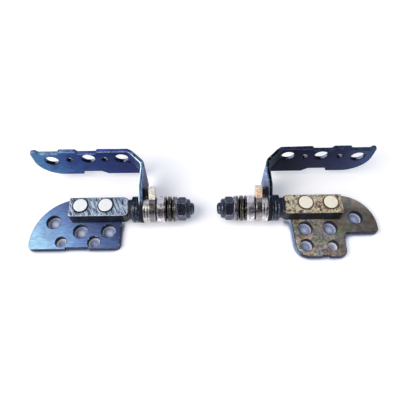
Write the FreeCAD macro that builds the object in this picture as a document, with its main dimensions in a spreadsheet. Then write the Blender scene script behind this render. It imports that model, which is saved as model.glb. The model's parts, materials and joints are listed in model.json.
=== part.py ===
import FreeCAD, Part

import math
import os

import Sketcher

# Pair of friction hinges for a laptop lid, in millimetres.
# X runs along both shafts, Y points to the back and Z up. The base plates lie on Z = 0 and the
# origin is below the middle of the pair. Along a hinge, a station is the distance from the
# collar's seat towards the nut, so the base plate lies at negative stations.

SIZES = {
    # Pair
    "seat_spacing": 35.0,
    # Base plates
    "plate_thickness": 1.5,
    "plate_setback": 3.55,
    "plate_back": 4.2,
    "plate_corner": 1.0,
    "left_plate_reach": 25.7,
    "left_plate_front": 9.3,
    "left_sweep_radius": 11.8,
    "right_plate_reach": 24.9,
    "right_wing_front": 6.1,
    "right_sweep_radius": 8.8,
    "right_foot_outer": 16.3,
    "right_foot_front": 12.1,
    "right_foot_taper": 0.7,
    "right_foot_corner": 1.5,
    "right_foot_radius": 3.2,
    "recess_depth": 0.25,
    "left_recess_along": 11.1,
    "left_recess_length": 5.6,
    "right_recess_along": 10.3,
    "right_recess_length": 1.9,
    # Shaft
    "journal_diameter": 4.0,
    "flat_width": 3.0,
    "stud_diameter": 3.0,
    "stud_tip_chamfer": 0.5,
    "stud_tip_length": 0.9,
    "collar_thickness": 0.4,
    "neck_length": 1.0,
    "neck_diameter": 5.0,
    "tang_length": 14.4,
    "tang_width": 5.0,
    "tang_thickness": 4.0,
    "tang_root_radius": 1.9,
    "tang_end_radius": 0.4,
    # Rivets
    "rivet_inner_along": 6.85,
    "rivet_pitch": 6.1,
    "rivet_offset": 0.3,
    "rivet_diameter": 2.6,
    "rivet_head_diameter": 3.5,
    "rivet_head_height": 0.3,
    "rivet_head_chamfer": 0.12,
    "rivet_tail_sink": 0.5,
    # Washer stack
    "washer_diameter": 6.5,
    "inner_washer_thickness": 0.7,
    "friction_washer_thickness": 0.7,
    "drive_washer_thickness": 1.5,
    "spacer_diameter": 5.6,
    "spacer_thickness": 0.4,
    "pressure_washer_thickness": 1.8,
    "pressure_washer_chamfer": 0.15,
    "spring_diameter": 6.3,
    "spring_thickness": 0.4,
    "spring_height": 0.62,
    "lock_washer_diameter": 6.1,
    "lock_washer_thickness": 0.65,
    "nut_flats": 5.1,
    "nut_height": 2.2,
    "nut_chamfer": 0.35,
    "nut_collar_diameter": 4.9,
    "nut_collar_height": 1.0,
    "nut_collar_round": 0.6,
    # Drive washer tab and its dog in the arm
    "tab_angle": 44.0,
    "tab_tip_radius": 5.4,
    "tab_width": 3.2,
    "dog_inner_radius": 3.55,
    "dog_outer_radius": 5.1,
    "dog_width": 1.7,
    # Display bracket
    "sheet_thickness": 1.0,
    "bend_radius": 1.5,
    "ring_radius": 3.3,
    "joggle_start": 3.5,
    "joggle_end": 7.2,
    "joggle_shift": 0.6,
    "corner_run": 3.7,
    "blade_front": 11.3,
    "blade_bottom": -1.55,
    "blade_height": 9.35,
    "left_blade_reach": 25.0,
    "right_blade_reach": 24.2,
    "blade_sweep_radius": 6.3,
    "blade_corner": 0.6,
    "tongue_end": 1.2,
    "tongue_height": 5.5,
    "relief_width": 0.4,
    "arm_shoulder": 8.2,
    "arm_throat_back": 8.8,
    "arm_throat_front": 7.9,
    "arm_throat_height": -1.5,
    "tab_rise": 0.8,
    "tab_slope": 0.6,
    "inner_tab_along": 9.25,
    "outer_tab_along": 13.5,
    "outer_tab_length": 5.1,
    "left_ear_length": 1.3,
    "right_ear_length": 0.8,
    "notch_along": 9.2,
    "notch_length": 4.4,
    "notch_depth": 1.5,
    "notch_slope": 1.5,
    "notch_step": 0.5,
    "blade_hole_diameter": 3.2,
    "pip_hole_diameter": 1.4,
    # Clearances
    "running_clearance": 0.05,
    "key_clearance": 0.03,
    "rivet_clearance": 0.02,
    "dog_clearance": 0.08,
    "key_relief": 0.2,
}

# Holes as distance outwards from the seat, distance in front of the axis and diameter.
PLATE_HOLES = {
    "left": {
        "outer_screw": (20.3, 2.25, 3.5),
        "middle_screw": (13.4, 4.8, 3.5),
        "inner_screw": (6.5, 4.8, 3.5),
        "outer_pin": (17.9, 7.5, 2.6),
        "inner_pin": (9.85, 7.65, 3.0),
    },
    "right": {
        "outer_screw": (19.8, 2.0, 3.3),
        "middle_screw": (13.1, 4.75, 3.4),
        "inner_screw": (6.95, 4.75, 3.4),
        "outer_pin": (13.2, 9.4, 2.5),
        "inner_pin": (6.8, 9.2, 3.0),
    },
}

# Holes in the bracket's blade as distance outwards from the seat and height above the axis.
BLADE_HOLES = {
    "inner_lid_screw": (3.05, 5.75),
    "middle_lid_screw": (11.3, 5.75),
    "outer_lid_screw": (20.5, 5.05),
}
BLADE_PIPS = {
    "inner_pip": (7.3, 5.4),
    "outer_pip": (16.0, 5.4),
}

SIDES = ("left", "right")
HAND = {"left": 1, "right": -1}
INNER_WASHERS = 2
FRICTION_WASHERS = 2
DISC_SPRINGS = 4
RIVETS = ("inner", "outer")
NEAR = 0.001


class Size:
    """A length together with the sheet expression that it comes from."""

    def __init__(self, value, text):
        self.value = float(value)
        self.text = text

    def __add__(self, other):
        other = as_size(other)
        return Size(self.value + other.value, f"({self.text} + {other.text})")

    def __sub__(self, other):
        other = as_size(other)
        return Size(self.value - other.value, f"({self.text} - {other.text})")

    def __mul__(self, other):
        other = as_size(other)
        return Size(self.value * other.value, f"({self.text} * {other.text})")

    def __truediv__(self, other):
        other = as_size(other)
        return Size(self.value / other.value, f"({self.text} / {other.text})")

    def __neg__(self):
        return self * -1


def as_size(number):
    """Return a plain number as a Size, and a Size as it is."""
    if isinstance(number, Size):
        return number
    return Size(number, f"({number})")


def smaller(first, second):
    """The smaller of two sizes."""
    return Size(min(first.value, second.value), f"min({first.text}; {second.text})")


def cosine(angle):
    """Cosine of a size that holds degrees."""
    return Size(math.cos(math.radians(angle.value)), f"cos({angle.text})")


def sine(angle):
    """Sine of a size that holds degrees."""
    return Size(math.sin(math.radians(angle.value)), f"sin({angle.text})")


doc = FreeCAD.newDocument("laptop_hinges")
sheet = doc.addObject("Spreadsheet::Sheet", "Sizes")


def fill_sheet():
    """Write every driving size into the sheet and return the sizes by name."""
    rows = dict(SIZES)
    for side, holes in PLATE_HOLES.items():
        for name, (along, ahead, diameter) in holes.items():
            rows[f"{side}_{name}_along"] = along
            rows[f"{side}_{name}_ahead"] = ahead
            rows[f"{side}_{name}_bore"] = diameter
    for name, (along, height) in {**BLADE_HOLES, **BLADE_PIPS}.items():
        rows[f"{name}_along"] = along
        rows[f"{name}_height"] = height
    for row, (name, value) in enumerate(rows.items(), start=1):
        sheet.set(f"A{row}", name)
        sheet.set(f"B{row}", str(value))
        sheet.setAlias(f"B{row}", name)
    doc.recompute()
    return {name: Size(value, f"Sizes.{name}") for name, value in rows.items()}


SIZE = fill_sheet()
ZERO = as_size(0)
SHEET = SIZE["sheet_thickness"]
WASHER_RADIUS = SIZE["washer_diameter"] / 2
JOURNAL_RADIUS = SIZE["journal_diameter"] / 2
STUD_RADIUS = SIZE["stud_diameter"] / 2
AXIS_HEIGHT = SIZE["plate_thickness"] + SIZE["tang_thickness"] / 2
BLADE_BACK = SIZE["blade_front"] + SHEET
AXIS_DEPTH = (SIZE["right_foot_front"] - BLADE_BACK) / 2
BLADE_TOP = SIZE["blade_bottom"] + SIZE["blade_height"] + SIZE["tab_rise"]
REACH_SHIFT = (SIZE["left_plate_reach"] - SIZE["right_plate_reach"]) / 2
SEAT = {side: REACH_SHIFT - SIZE["seat_spacing"] / 2 * HAND[side] for side in SIDES}


def stack_stations():
    """Station at which each piece of the stack starts, from the collar's seat to the nut's end."""
    pieces = [(f"inner_washer_{i + 1}", SIZE["inner_washer_thickness"]) for i in range(INNER_WASHERS)]
    pieces.append(("arm", SHEET))
    for i in range(FRICTION_WASHERS):
        pieces.append((f"friction_washer_{i + 1}", SIZE["friction_washer_thickness"]))
    pieces.append(("drive_washer", SIZE["drive_washer_thickness"]))
    pieces.append(("spacer_washer", SIZE["spacer_thickness"]))
    pieces.append(("pressure_washer", SIZE["pressure_washer_thickness"]))
    pieces.extend((f"disc_spring_{i + 1}", SIZE["spring_height"]) for i in range(DISC_SPRINGS))
    pieces.append(("lock_washer", SIZE["lock_washer_thickness"]))
    pieces.append(("lock_nut", SIZE["nut_height"] + SIZE["nut_collar_height"]))
    stations = {}
    station = ZERO
    for name, thickness in pieces:
        stations[name] = station
        station = station + thickness
    stations["stud_tip"] = station
    return stations


STATION = stack_stations()


# Sketches and features


def new_body(node, x, y, z, turned=False):
    """A body with its frame at a place worked out from the sheet, turned half round Z if asked."""
    body = doc.addObject("PartDesign::Body", node)
    body.Label = node
    turn = FreeCAD.Rotation(FreeCAD.Vector(0, 0, 1), 180 if turned else 0)
    body.Placement = FreeCAD.Placement(FreeCAD.Vector(x.value, y.value, z.value), turn)
    for axis, size in (("x", x), ("y", y), ("z", z)):
        body.setExpression(f"Placement.Base.{axis}", size.text)
    return body


def shaft_body(side, piece, station):
    """A body on the shaft axis whose own +X runs from the seat towards the nut."""
    x = SEAT[side] + station * HAND[side]
    return new_body(f"{side}_{piece}", x, AXIS_DEPTH, AXIS_HEIGHT, turned=HAND[side] < 0)


def new_sketch(body, role, name, offset=None):
    """A sketch on one of the body's own origin planes, shifted along its normal if asked."""
    sketch = body.newObject("Sketcher::SketchObject", name)
    plane = [feature for feature in body.Origin.OriginFeatures if feature.Role == role][0]
    sketch.AttachmentSupport = [(plane, "")]
    sketch.MapMode = "FlatFace"
    if offset is not None:
        sketch.AttachmentOffset = FreeCAD.Placement(
            FreeCAD.Vector(0, 0, offset.value), FreeCAD.Rotation()
        )
        sketch.setExpression("AttachmentOffset.Base.z", offset.text)
    return sketch


def drive(sketch, size, *constraint):
    """Add a dimension and tie it to the sheet."""
    index = sketch.addConstraint(Sketcher.Constraint(*constraint, size.value))
    sketch.setExpression(f"Constraints[{index}]", size.text)


def pin(sketch, geometry, point, x, y):
    """Hold one point of the sketch at a place from the sheet."""
    drive(sketch, x, "DistanceX", geometry, point)
    drive(sketch, y, "DistanceY", geometry, point)


def add_polygon(sketch, corners):
    """A closed outline of straight lines through the corners."""
    points = [FreeCAD.Vector(x.value, y.value, 0) for x, y in corners]
    first = sketch.GeometryCount
    for start, end in zip(points, points[1:] + points[:1]):
        sketch.addGeometry(Part.LineSegment(start, end), False)
    for index, (x, y) in enumerate(corners):
        following = first + (index + 1) % len(corners)
        sketch.addConstraint(Sketcher.Constraint("Coincident", first + index, 2, following, 1))
        pin(sketch, first + index, 1, x, y)


def add_circle(sketch, x, y, diameter):
    """A circle with its centre and diameter from the sheet."""
    centre = FreeCAD.Vector(x.value, y.value, 0)
    circle = Part.Circle(centre, FreeCAD.Vector(0, 0, 1), diameter.value / 2)
    index = sketch.addGeometry(circle, False)
    pin(sketch, index, 3, x, y)
    drive(sketch, diameter, "Diameter", index)


def add_double_d(sketch, radius, half_width):
    """A round outline about the axis with two flats, above and below."""
    circle = Part.Circle(FreeCAD.Vector(0, 0, 0), FreeCAD.Vector(0, 0, 1), radius.value)
    angle = math.asin(half_width.value / radius.value)
    near = sketch.addGeometry(Part.ArcOfCircle(circle, -angle, angle), False)
    far = sketch.addGeometry(Part.ArcOfCircle(circle, math.pi - angle, math.pi + angle), False)
    reach = radius.value * math.cos(angle)
    flats = []
    for sign in (1, -1):
        start = FreeCAD.Vector(sign * reach, sign * half_width.value, 0)
        end = FreeCAD.Vector(-sign * reach, sign * half_width.value, 0)
        flats.append(sketch.addGeometry(Part.LineSegment(start, end), False))
    for arc in (near, far):
        sketch.addConstraint(Sketcher.Constraint("Coincident", arc, 3, -1, 1))
    sketch.addConstraint(Sketcher.Constraint("Equal", near, far))
    for flat, first_arc, second_arc in ((flats[0], near, far), (flats[1], far, near)):
        sketch.addConstraint(Sketcher.Constraint("Coincident", flat, 1, first_arc, 2))
        sketch.addConstraint(Sketcher.Constraint("Coincident", flat, 2, second_arc, 1))
        sketch.addConstraint(Sketcher.Constraint("Horizontal", flat))
    drive(sketch, radius, "Radius", near)
    drive(sketch, half_width, "DistanceY", flats[0], 1)
    drive(sketch, -half_width, "DistanceY", flats[1], 1)


def add_pad(body, sketch, length, reverse=False, symmetric=False):
    """Raise a sketch into a solid."""
    feature = body.newObject("PartDesign::Pad", f"{sketch.Name}_pad")
    feature.Profile = sketch
    feature.SideType = "Symmetric" if symmetric else "One side"
    feature.Reversed = reverse
    feature.Length = length.value
    feature.setExpression("Length", length.text)
    doc.recompute()
    return feature


def cut_through(body, sketch):
    """Cut a sketch right through the body, both ways, and make sure that it removes material."""
    before = body.Shape.Volume
    feature = body.newObject("PartDesign::Pocket", f"{sketch.Name}_cut")
    feature.Profile = sketch
    feature.Type = "ThroughAll"
    feature.SideType = "Symmetric"
    doc.recompute()
    if body.Shape.Volume >= before:
        raise RuntimeError(f"{sketch.Label} removes nothing")
    return feature


def add_turned(body, sketch):
    """Turn a sketch about its own horizontal axis."""
    feature = body.newObject("PartDesign::Revolution", f"{sketch.Name}_turned")
    feature.Profile = sketch
    feature.ReferenceAxis = (sketch, ["H_Axis"])
    feature.Angle = 360
    doc.recompute()
    return feature


def cut_turned(body, sketch):
    """Cut a groove about the sketch's own horizontal axis and make sure that it removes material."""
    before = body.Shape.Volume
    feature = body.newObject("PartDesign::Groove", f"{sketch.Name}_groove")
    feature.Profile = sketch
    feature.ReferenceAxis = (sketch, ["H_Axis"])
    feature.Angle = 360
    doc.recompute()
    if body.Shape.Volume >= before:
        raise RuntimeError(f"{sketch.Label} removes nothing")
    return feature


def edges_at(feature, direction, spots):
    """Names of the straight edges along X, Y or Z (0, 1 or 2) that pass through the spots."""
    across = [axis for axis in range(3) if axis != direction]
    names = []
    for index, edge in enumerate(feature.Shape.Edges, start=1):
        ends = [vertex.Point for vertex in edge.Vertexes]
        if len(ends) != 2 or not isinstance(edge.Curve, Part.Line):
            continue
        for spot in spots:
            gaps = [abs(end[axis] - size.value) for end in ends for axis, size in zip(across, spot)]
            if max(gaps) < NEAR:
                names.append(f"Edge{index}")
    if not names:
        raise RuntimeError(f"no edge of {feature.Label} found to dress")
    return names


def rims_at(feature, direction, level, centres):
    """Names of the circular edges at one level along an axis that are centred on the given spots."""
    across = [axis for axis in range(3) if axis != direction]
    names = []
    for index, edge in enumerate(feature.Shape.Edges, start=1):
        if not isinstance(edge.Curve, Part.Circle):
            continue
        centre = edge.Curve.Center
        if abs(centre[direction] - level.value) > NEAR:
            continue
        for spot in centres:
            if max(abs(centre[axis] - size.value) for axis, size in zip(across, spot)) < NEAR:
                names.append(f"Edge{index}")
    if not names:
        raise RuntimeError(f"no rim of {feature.Label} found to dress")
    return names


def dress(body, kind, feature, names, size):
    """Round or bevel edges of the last feature."""
    dressed = body.newObject(f"PartDesign::{kind}", f"{feature.Name}_{kind.lower()}")
    dressed.Base = (feature, names)
    measure = "Radius" if kind == "Fillet" else "Size"
    setattr(dressed, measure, size.value)
    dressed.setExpression(measure, size.text)
    doc.recompute()
    return dressed


# Base plates


def rivet_spot(rivet):
    """Place of a rivet: distance outwards from the seat."""
    return SIZE["rivet_inner_along"] + SIZE["rivet_pitch"] * RIVETS.index(rivet)


def recess(outer, inner, front):
    """Corners of a shallow step back in a plate's front edge, between two stations."""
    depth = SIZE["recess_depth"]
    soft = depth / 3
    step = front + depth
    return [(outer, front, soft), (outer, step, soft), (inner, step, soft), (inner, front, soft)]


def left_plate_outline():
    """Corners of the D-shaped plate with the radius at each, as station and distance back."""
    inner = -SIZE["plate_setback"]
    outer = -SIZE["left_plate_reach"]
    back = SIZE["plate_back"]
    front = -SIZE["left_plate_front"]
    corner = SIZE["plate_corner"]
    room = back - front - corner - SIZE["running_clearance"]
    sweep = smaller(SIZE["left_sweep_radius"], room)
    start = -SIZE["left_recess_along"]
    return [
        (inner, back, corner),
        (outer, back, sweep),
        (outer, front, corner),
        *recess(start - SIZE["left_recess_length"], start, front),
        (inner, front, corner),
    ]


def right_plate_outline():
    """Corners of the L-shaped plate with the radius at each, as station and distance back."""
    inner = -SIZE["plate_setback"]
    outer = -SIZE["right_plate_reach"]
    back = SIZE["plate_back"]
    wing = -SIZE["right_wing_front"]
    foot = -SIZE["right_foot_outer"]
    front = -SIZE["right_foot_front"]
    corner = SIZE["plate_corner"]
    room = back - wing - corner - SIZE["running_clearance"]
    sweep = smaller(SIZE["right_sweep_radius"], room)
    toe = inner - SIZE["right_foot_taper"]
    start = -SIZE["right_recess_along"]
    return [
        (inner, back, corner),
        (outer, back, sweep),
        (outer, wing, corner),
        (foot, wing, corner),
        (foot, front, SIZE["right_foot_corner"]),
        *recess(start - SIZE["right_recess_length"], start, front),
        (toe, front, SIZE["right_foot_radius"]),
    ]


PLATE_OUTLINES = {"left": left_plate_outline, "right": right_plate_outline}


def make_base_plate(side):
    """Stamped plate with its screw and pin holes and two countersunk rivet holes."""
    hand = HAND[side]
    body = new_body(f"{side}_base_plate", SEAT[side], AXIS_DEPTH, ZERO)
    outline = [(station * hand, back, radius) for station, back, radius in PLATE_OUTLINES[side]()]
    sketch = new_sketch(body, "XY_Plane", f"{side}_plate_outline")
    add_polygon(sketch, [(x, y) for x, y, radius in outline])
    plate = add_pad(body, sketch, SIZE["plate_thickness"])
    for x, y, radius in outline:
        plate = dress(body, "Fillet", plate, edges_at(plate, 2, [(x, y)]), radius)
    holes = new_sketch(body, "XY_Plane", f"{side}_plate_holes")
    for name in PLATE_HOLES[side]:
        along = SIZE[f"{side}_{name}_along"] * -hand
        add_circle(holes, along, -SIZE[f"{side}_{name}_ahead"], SIZE[f"{side}_{name}_bore"])
    bore = SIZE["rivet_diameter"] + SIZE["rivet_clearance"] * 2
    spots = [(rivet_spot(rivet) * -hand, SIZE["rivet_offset"]) for rivet in RIVETS]
    for x, y in spots:
        add_circle(holes, x, y, bore)
    drilled = cut_through(body, holes)
    dress(body, "Chamfer", drilled, rims_at(drilled, 2, ZERO, spots), SIZE["rivet_tail_sink"])
    return body


# Shaft and rivets


def make_shaft(side):
    """One pin: tang, neck, collar, double-D journal and stud with a bevelled tip."""
    body = shaft_body(side, "shaft", ZERO)
    collar = -SIZE["collar_thickness"]
    neck = collar - SIZE["neck_length"]
    keyed_end = STATION["lock_nut"] - SIZE["key_relief"]
    tip = STATION["stud_tip"] + SIZE["stud_tip_length"]
    bevel = SIZE["stud_tip_chamfer"]
    half = SIZE["tang_width"] / 2
    end = neck - SIZE["tang_length"]
    root = neck + SIZE["neck_length"] / 2
    blank = new_sketch(body, "XY_Plane", f"{side}_tang_outline")
    add_polygon(blank, [(end, -half), (root, -half), (root, half), (end, half)])
    tang = add_pad(body, blank, SIZE["tang_thickness"], symmetric=True)
    for station, radius in ((end, SIZE["tang_end_radius"]), (root, SIZE["tang_root_radius"])):
        corners = [(station, half), (station, -half)]
        tang = dress(body, "Fillet", tang, edges_at(tang, 2, corners), radius)

    section = new_sketch(body, "XZ_Plane", f"{side}_shaft_section")
    add_polygon(section, [
        (neck, ZERO),
        (neck, SIZE["neck_diameter"] / 2),
        (collar, SIZE["neck_diameter"] / 2),
        (collar, WASHER_RADIUS),
        (ZERO, WASHER_RADIUS),
        (ZERO, JOURNAL_RADIUS),
        (keyed_end, JOURNAL_RADIUS),
        (keyed_end, STUD_RADIUS),
        (tip - bevel, STUD_RADIUS),
        (tip, STUD_RADIUS - bevel),
        (tip, ZERO),
    ])
    add_turned(body, section)
    flats = new_sketch(body, "XZ_Plane", f"{side}_shaft_flats")
    for sign in (1, -1):
        flat = SIZE["flat_width"] / 2 * sign
        outside = WASHER_RADIUS * sign
        add_polygon(flats, [(ZERO, flat), (keyed_end, flat), (keyed_end, outside), (ZERO, outside)])
    cut_through(body, flats)

    holes = new_sketch(body, "XY_Plane", f"{side}_tang_holes")
    bore = SIZE["rivet_diameter"] + SIZE["rivet_clearance"] * 2
    for rivet in RIVETS:
        add_circle(holes, -rivet_spot(rivet), SIZE["rivet_offset"] * HAND[side], bore)
    cut_through(body, holes)
    return body


def make_rivet(side, rivet):
    """Rivet with a low bevelled head on the tang and a countersunk tail in the plate."""
    x = SEAT[side] - rivet_spot(rivet) * HAND[side]
    body = new_body(f"{side}_rivet_{rivet}", x, AXIS_DEPTH + SIZE["rivet_offset"], ZERO)
    shank = SIZE["rivet_diameter"] / 2
    head = SIZE["rivet_head_diameter"] / 2
    seat = SIZE["plate_thickness"] + SIZE["tang_thickness"]
    top = seat + SIZE["rivet_head_height"]
    bevel = SIZE["rivet_head_chamfer"]
    sink = SIZE["rivet_tail_sink"]
    section = new_sketch(body, "YZ_Plane", f"{side}_rivet_{rivet}_section")
    add_polygon(section, [
        (ZERO, ZERO),
        (shank + sink, ZERO),
        (shank, sink),
        (shank, seat),
        (head, seat),
        (head, top - bevel),
        (head - bevel, top),
        (ZERO, top),
    ])
    feature = body.newObject("PartDesign::Revolution", f"{side}_rivet_{rivet}_turned")
    feature.Profile = section
    feature.ReferenceAxis = (section, ["V_Axis"])
    feature.Angle = 360
    doc.recompute()
    return body


# Washer stack


def make_keyed_washer(side, piece, diameter, thickness, chamfer=None):
    """Flat washer with a double-D hole, so that it stays still on the shaft."""
    body = shaft_body(side, piece, STATION[piece])
    disc = new_sketch(body, "YZ_Plane", f"{side}_{piece}_disc")
    add_circle(disc, ZERO, ZERO, diameter)
    gap = SIZE["key_clearance"]
    add_double_d(disc, JOURNAL_RADIUS + gap, SIZE["flat_width"] / 2 + gap)
    washer = add_pad(body, disc, thickness)
    if chamfer is not None:
        rims = [
            name
            for level in (ZERO, thickness)
            for name in rims_at(washer, 0, level, [(ZERO, ZERO)])
            if abs(washer.Shape.getElement(name).Curve.Radius - diameter.value / 2) < NEAR
        ]
        dress(body, "Chamfer", washer, rims, chamfer)
    return body


def make_disc_spring(side, number):
    """Dished spring washer; every second one is turned round, so they meet rim to rim."""
    piece = f"disc_spring_{number}"
    body = shaft_body(side, piece, STATION[piece])
    thickness = SIZE["spring_thickness"]
    height = SIZE["spring_height"]
    rim = SIZE["spring_diameter"] / 2
    bore = JOURNAL_RADIUS + SIZE["running_clearance"]
    dish = height - thickness
    section = [(ZERO, rim), (thickness, rim), (height, bore), (dish, bore)]
    if number % 2 == 0:
        section = [(height - x, radius) for x, radius in section]
    sketch = new_sketch(body, "XZ_Plane", f"{side}_{piece}_section")
    add_polygon(sketch, section)
    add_turned(body, sketch)
    return body


def make_lock_nut(side):
    """Hexagon nut with bevelled corners and a rounded collar."""
    body = shaft_body(side, "lock_nut", STATION["lock_nut"])
    corner = SIZE["nut_flats"] / 2 / math.cos(math.pi / 6)
    hexagon = new_sketch(body, "YZ_Plane", f"{side}_nut_hexagon")
    angles = [math.radians(30 + 60 * step) for step in range(6)]
    add_polygon(hexagon, [(corner * math.cos(angle), corner * math.sin(angle)) for angle in angles])
    add_pad(body, hexagon, SIZE["nut_height"])

    bevel = new_sketch(body, "XZ_Plane", f"{side}_nut_bevel")
    flat = SIZE["nut_flats"] / 2
    slope = SIZE["nut_chamfer"]
    outside = corner * 2 - flat
    for level, inward in ((ZERO, slope * 2), (SIZE["nut_height"], slope * -2)):
        add_polygon(bevel, [(level, flat), (level + inward, outside), (level, outside)])
    cut_turned(body, bevel)

    collar = new_sketch(body, "XZ_Plane", f"{side}_nut_collar")
    end = SIZE["nut_height"] + SIZE["nut_collar_height"]
    rim = SIZE["nut_collar_diameter"] / 2
    soft = SIZE["nut_collar_round"]
    add_polygon(collar, [
        (SIZE["nut_height"] / 2, ZERO),
        (SIZE["nut_height"] / 2, rim),
        (end, rim),
        (end, ZERO),
    ])
    turned = add_turned(body, collar)
    dress(body, "Fillet", turned, rims_at(turned, 0, end, [(ZERO, ZERO)]), soft)

    bore = new_sketch(body, "YZ_Plane", f"{side}_nut_bore")
    add_circle(bore, ZERO, ZERO, SIZE["stud_diameter"] + SIZE["key_clearance"] * 2)
    cut_through(body, bore)
    return body


# Display bracket and the washer that turns with it


def along_tab(radius, sideways):
    """A point of the drive washer's tab, as distance back and height."""
    turn = SIZE["tab_angle"]
    back = radius * cosine(turn) - sideways * sine(turn)
    height = radius * sine(turn) + sideways * cosine(turn)
    return back, height


def tab_block(inner, outer, width):
    """Corners of a block that points along the tab."""
    half = width / 2
    return [
        along_tab(inner, -half),
        along_tab(outer, -half),
        along_tab(outer, half),
        along_tab(inner, half),
    ]


def make_drive_washer(side):
    """Washer with an upright tab and a dog that reaches through the arm's slot."""
    hand = HAND[side]
    station = STATION["drive_washer"]
    x = SEAT[side] + station * hand
    body = new_body(f"{side}_drive_washer", x, AXIS_DEPTH, AXIS_HEIGHT)
    disc = new_sketch(body, "YZ_Plane", f"{side}_drive_disc")
    add_circle(disc, ZERO, ZERO, SIZE["washer_diameter"])
    add_pad(body, disc, SIZE["drive_washer_thickness"], reverse=hand < 0)
    tab = new_sketch(body, "YZ_Plane", f"{side}_drive_tab")
    add_polygon(tab, tab_block(JOURNAL_RADIUS, SIZE["tab_tip_radius"], SIZE["tab_width"]))
    add_pad(body, tab, SIZE["drive_washer_thickness"], reverse=hand < 0)
    dog = new_sketch(body, "YZ_Plane", f"{side}_drive_dog")
    add_polygon(dog, tab_block(SIZE["dog_inner_radius"], SIZE["dog_outer_radius"], SIZE["dog_width"]))
    reach = station - STATION["arm"] - SIZE["dog_clearance"]
    add_pad(body, dog, reach, reverse=hand > 0)
    bore = new_sketch(body, "YZ_Plane", f"{side}_drive_bore")
    add_circle(bore, ZERO, ZERO, SIZE["journal_diameter"] + SIZE["running_clearance"] * 2)
    cut_through(body, bore)
    return body


def arm_plan():
    """Outline of the folded arm seen from above, as station and distance back, with the bends."""
    near = STATION["arm"]
    far = near + SHEET
    shift = SIZE["joggle_shift"]
    mitre = SHEET * (math.sqrt(2) - 1)
    run = SIZE["corner_run"]
    front = -SIZE["ring_radius"] - SHEET
    outer_first = (far + shift - run, BLADE_BACK)
    outer_second = (far + shift, BLADE_BACK - run)
    inner_first = (far + shift - run - mitre, SIZE["blade_front"])
    inner_second = (near + shift, BLADE_BACK - run - mitre)
    stub = inner_first[0] - SHEET
    outline = [
        (near, front),
        (near, SIZE["joggle_start"]),
        (near + shift, SIZE["joggle_end"]),
        inner_second,
        inner_first,
        (stub, SIZE["blade_front"]),
        (stub, BLADE_BACK),
        outer_first,
        outer_second,
        (far + shift, SIZE["joggle_end"]),
        (far, SIZE["joggle_start"]),
        (far, front),
    ]
    return outline, (inner_first, inner_second), (outer_first, outer_second)


def add_arm_cut(sketch):
    """Outline of all that is cut away beside the arm: round its ring, above and below it."""
    radius = SIZE["ring_radius"].value
    margin = SHEET
    behind = BLADE_BACK + margin
    below = -SIZE["ring_radius"] - margin
    above = BLADE_TOP + margin
    ahead = below - margin
    neck = SIZE["blade_bottom"] + SIZE["tongue_height"] + SIZE["relief_width"]
    throat = (SIZE["arm_throat_front"], SIZE["arm_throat_height"])
    shoulder = (SIZE["arm_shoulder"], BLADE_TOP)
    touch = []
    for (back, height), sign in ((throat, -1), (shoulder, 1)):
        bearing = math.atan2(height.value, back.value)
        spread = math.acos(radius / math.hypot(height.value, back.value))
        touch.append(bearing + sign * spread)
    low, high = [FreeCAD.Vector(radius * math.cos(a), radius * math.sin(a), 0) for a in touch]
    fixed = [
        shoulder,
        (SIZE["arm_shoulder"], above),
        (ahead, above),
        (ahead, below),
        (behind, below),
        (behind, neck),
        (SIZE["arm_throat_back"], neck),
        throat,
    ]
    points = [FreeCAD.Vector(x.value, y.value, 0) for x, y in fixed]
    lines = [sketch.addGeometry(Part.LineSegment(high, points[0]), False)]
    for start, end in zip(points, points[1:]):
        lines.append(sketch.addGeometry(Part.LineSegment(start, end), False))
    lines.append(sketch.addGeometry(Part.LineSegment(points[-1], low), False))
    circle = Part.Circle(FreeCAD.Vector(0, 0, 0), FreeCAD.Vector(0, 0, 1), radius)
    ring = sketch.addGeometry(Part.ArcOfCircle(circle, touch[1], touch[0] + 2 * math.pi), False)
    for first, second in zip(lines, lines[1:]):
        sketch.addConstraint(Sketcher.Constraint("Coincident", first, 2, second, 1))
    for line, (x, y) in zip(lines[1:], fixed):
        pin(sketch, line, 1, x, y)
    sketch.addConstraint(Sketcher.Constraint("Coincident", ring, 3, -1, 1))
    drive(sketch, SIZE["ring_radius"], "Radius", ring)
    sketch.addConstraint(Sketcher.Constraint("Tangent", ring, 1, lines[0], 1))
    sketch.addConstraint(Sketcher.Constraint("Tangent", lines[-1], 2, ring, 2))


def blade_outline(side, stub):
    """Outline of the blade seen from the front, as station and height, from the tongue's lower corner."""
    bottom = SIZE["blade_bottom"]
    low = bottom + SIZE["blade_height"]
    slope = SIZE["tab_slope"]
    tongue = bottom + SIZE["tongue_height"]
    end = SIZE["tongue_end"]
    notch = -SIZE["notch_along"]
    notch_end = notch - SIZE["notch_length"]
    notch_top = bottom + SIZE["notch_depth"]
    reach = -SIZE[f"{side}_blade_reach"]
    ear = reach + SIZE[f"{side}_ear_length"]
    tab = -SIZE["outer_tab_along"]
    tab_end = tab - SIZE["outer_tab_length"]
    return [
        (end, bottom),
        (notch + SIZE["notch_slope"], bottom),
        (notch, notch_top),
        (notch_end, notch_top),
        (notch_end - SIZE["notch_step"], bottom),
        (reach, bottom),
        (reach, BLADE_TOP),
        (ear, BLADE_TOP),
        (ear + slope, low),
        (tab_end, low),
        (tab_end + slope, BLADE_TOP),
        (tab - slope, BLADE_TOP),
        (tab, low),
        (-SIZE["inner_tab_along"], low),
        (-SIZE["inner_tab_along"] + slope, BLADE_TOP),
        (stub, BLADE_TOP),
        (stub, tongue),
        (end, tongue),
    ]


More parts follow.
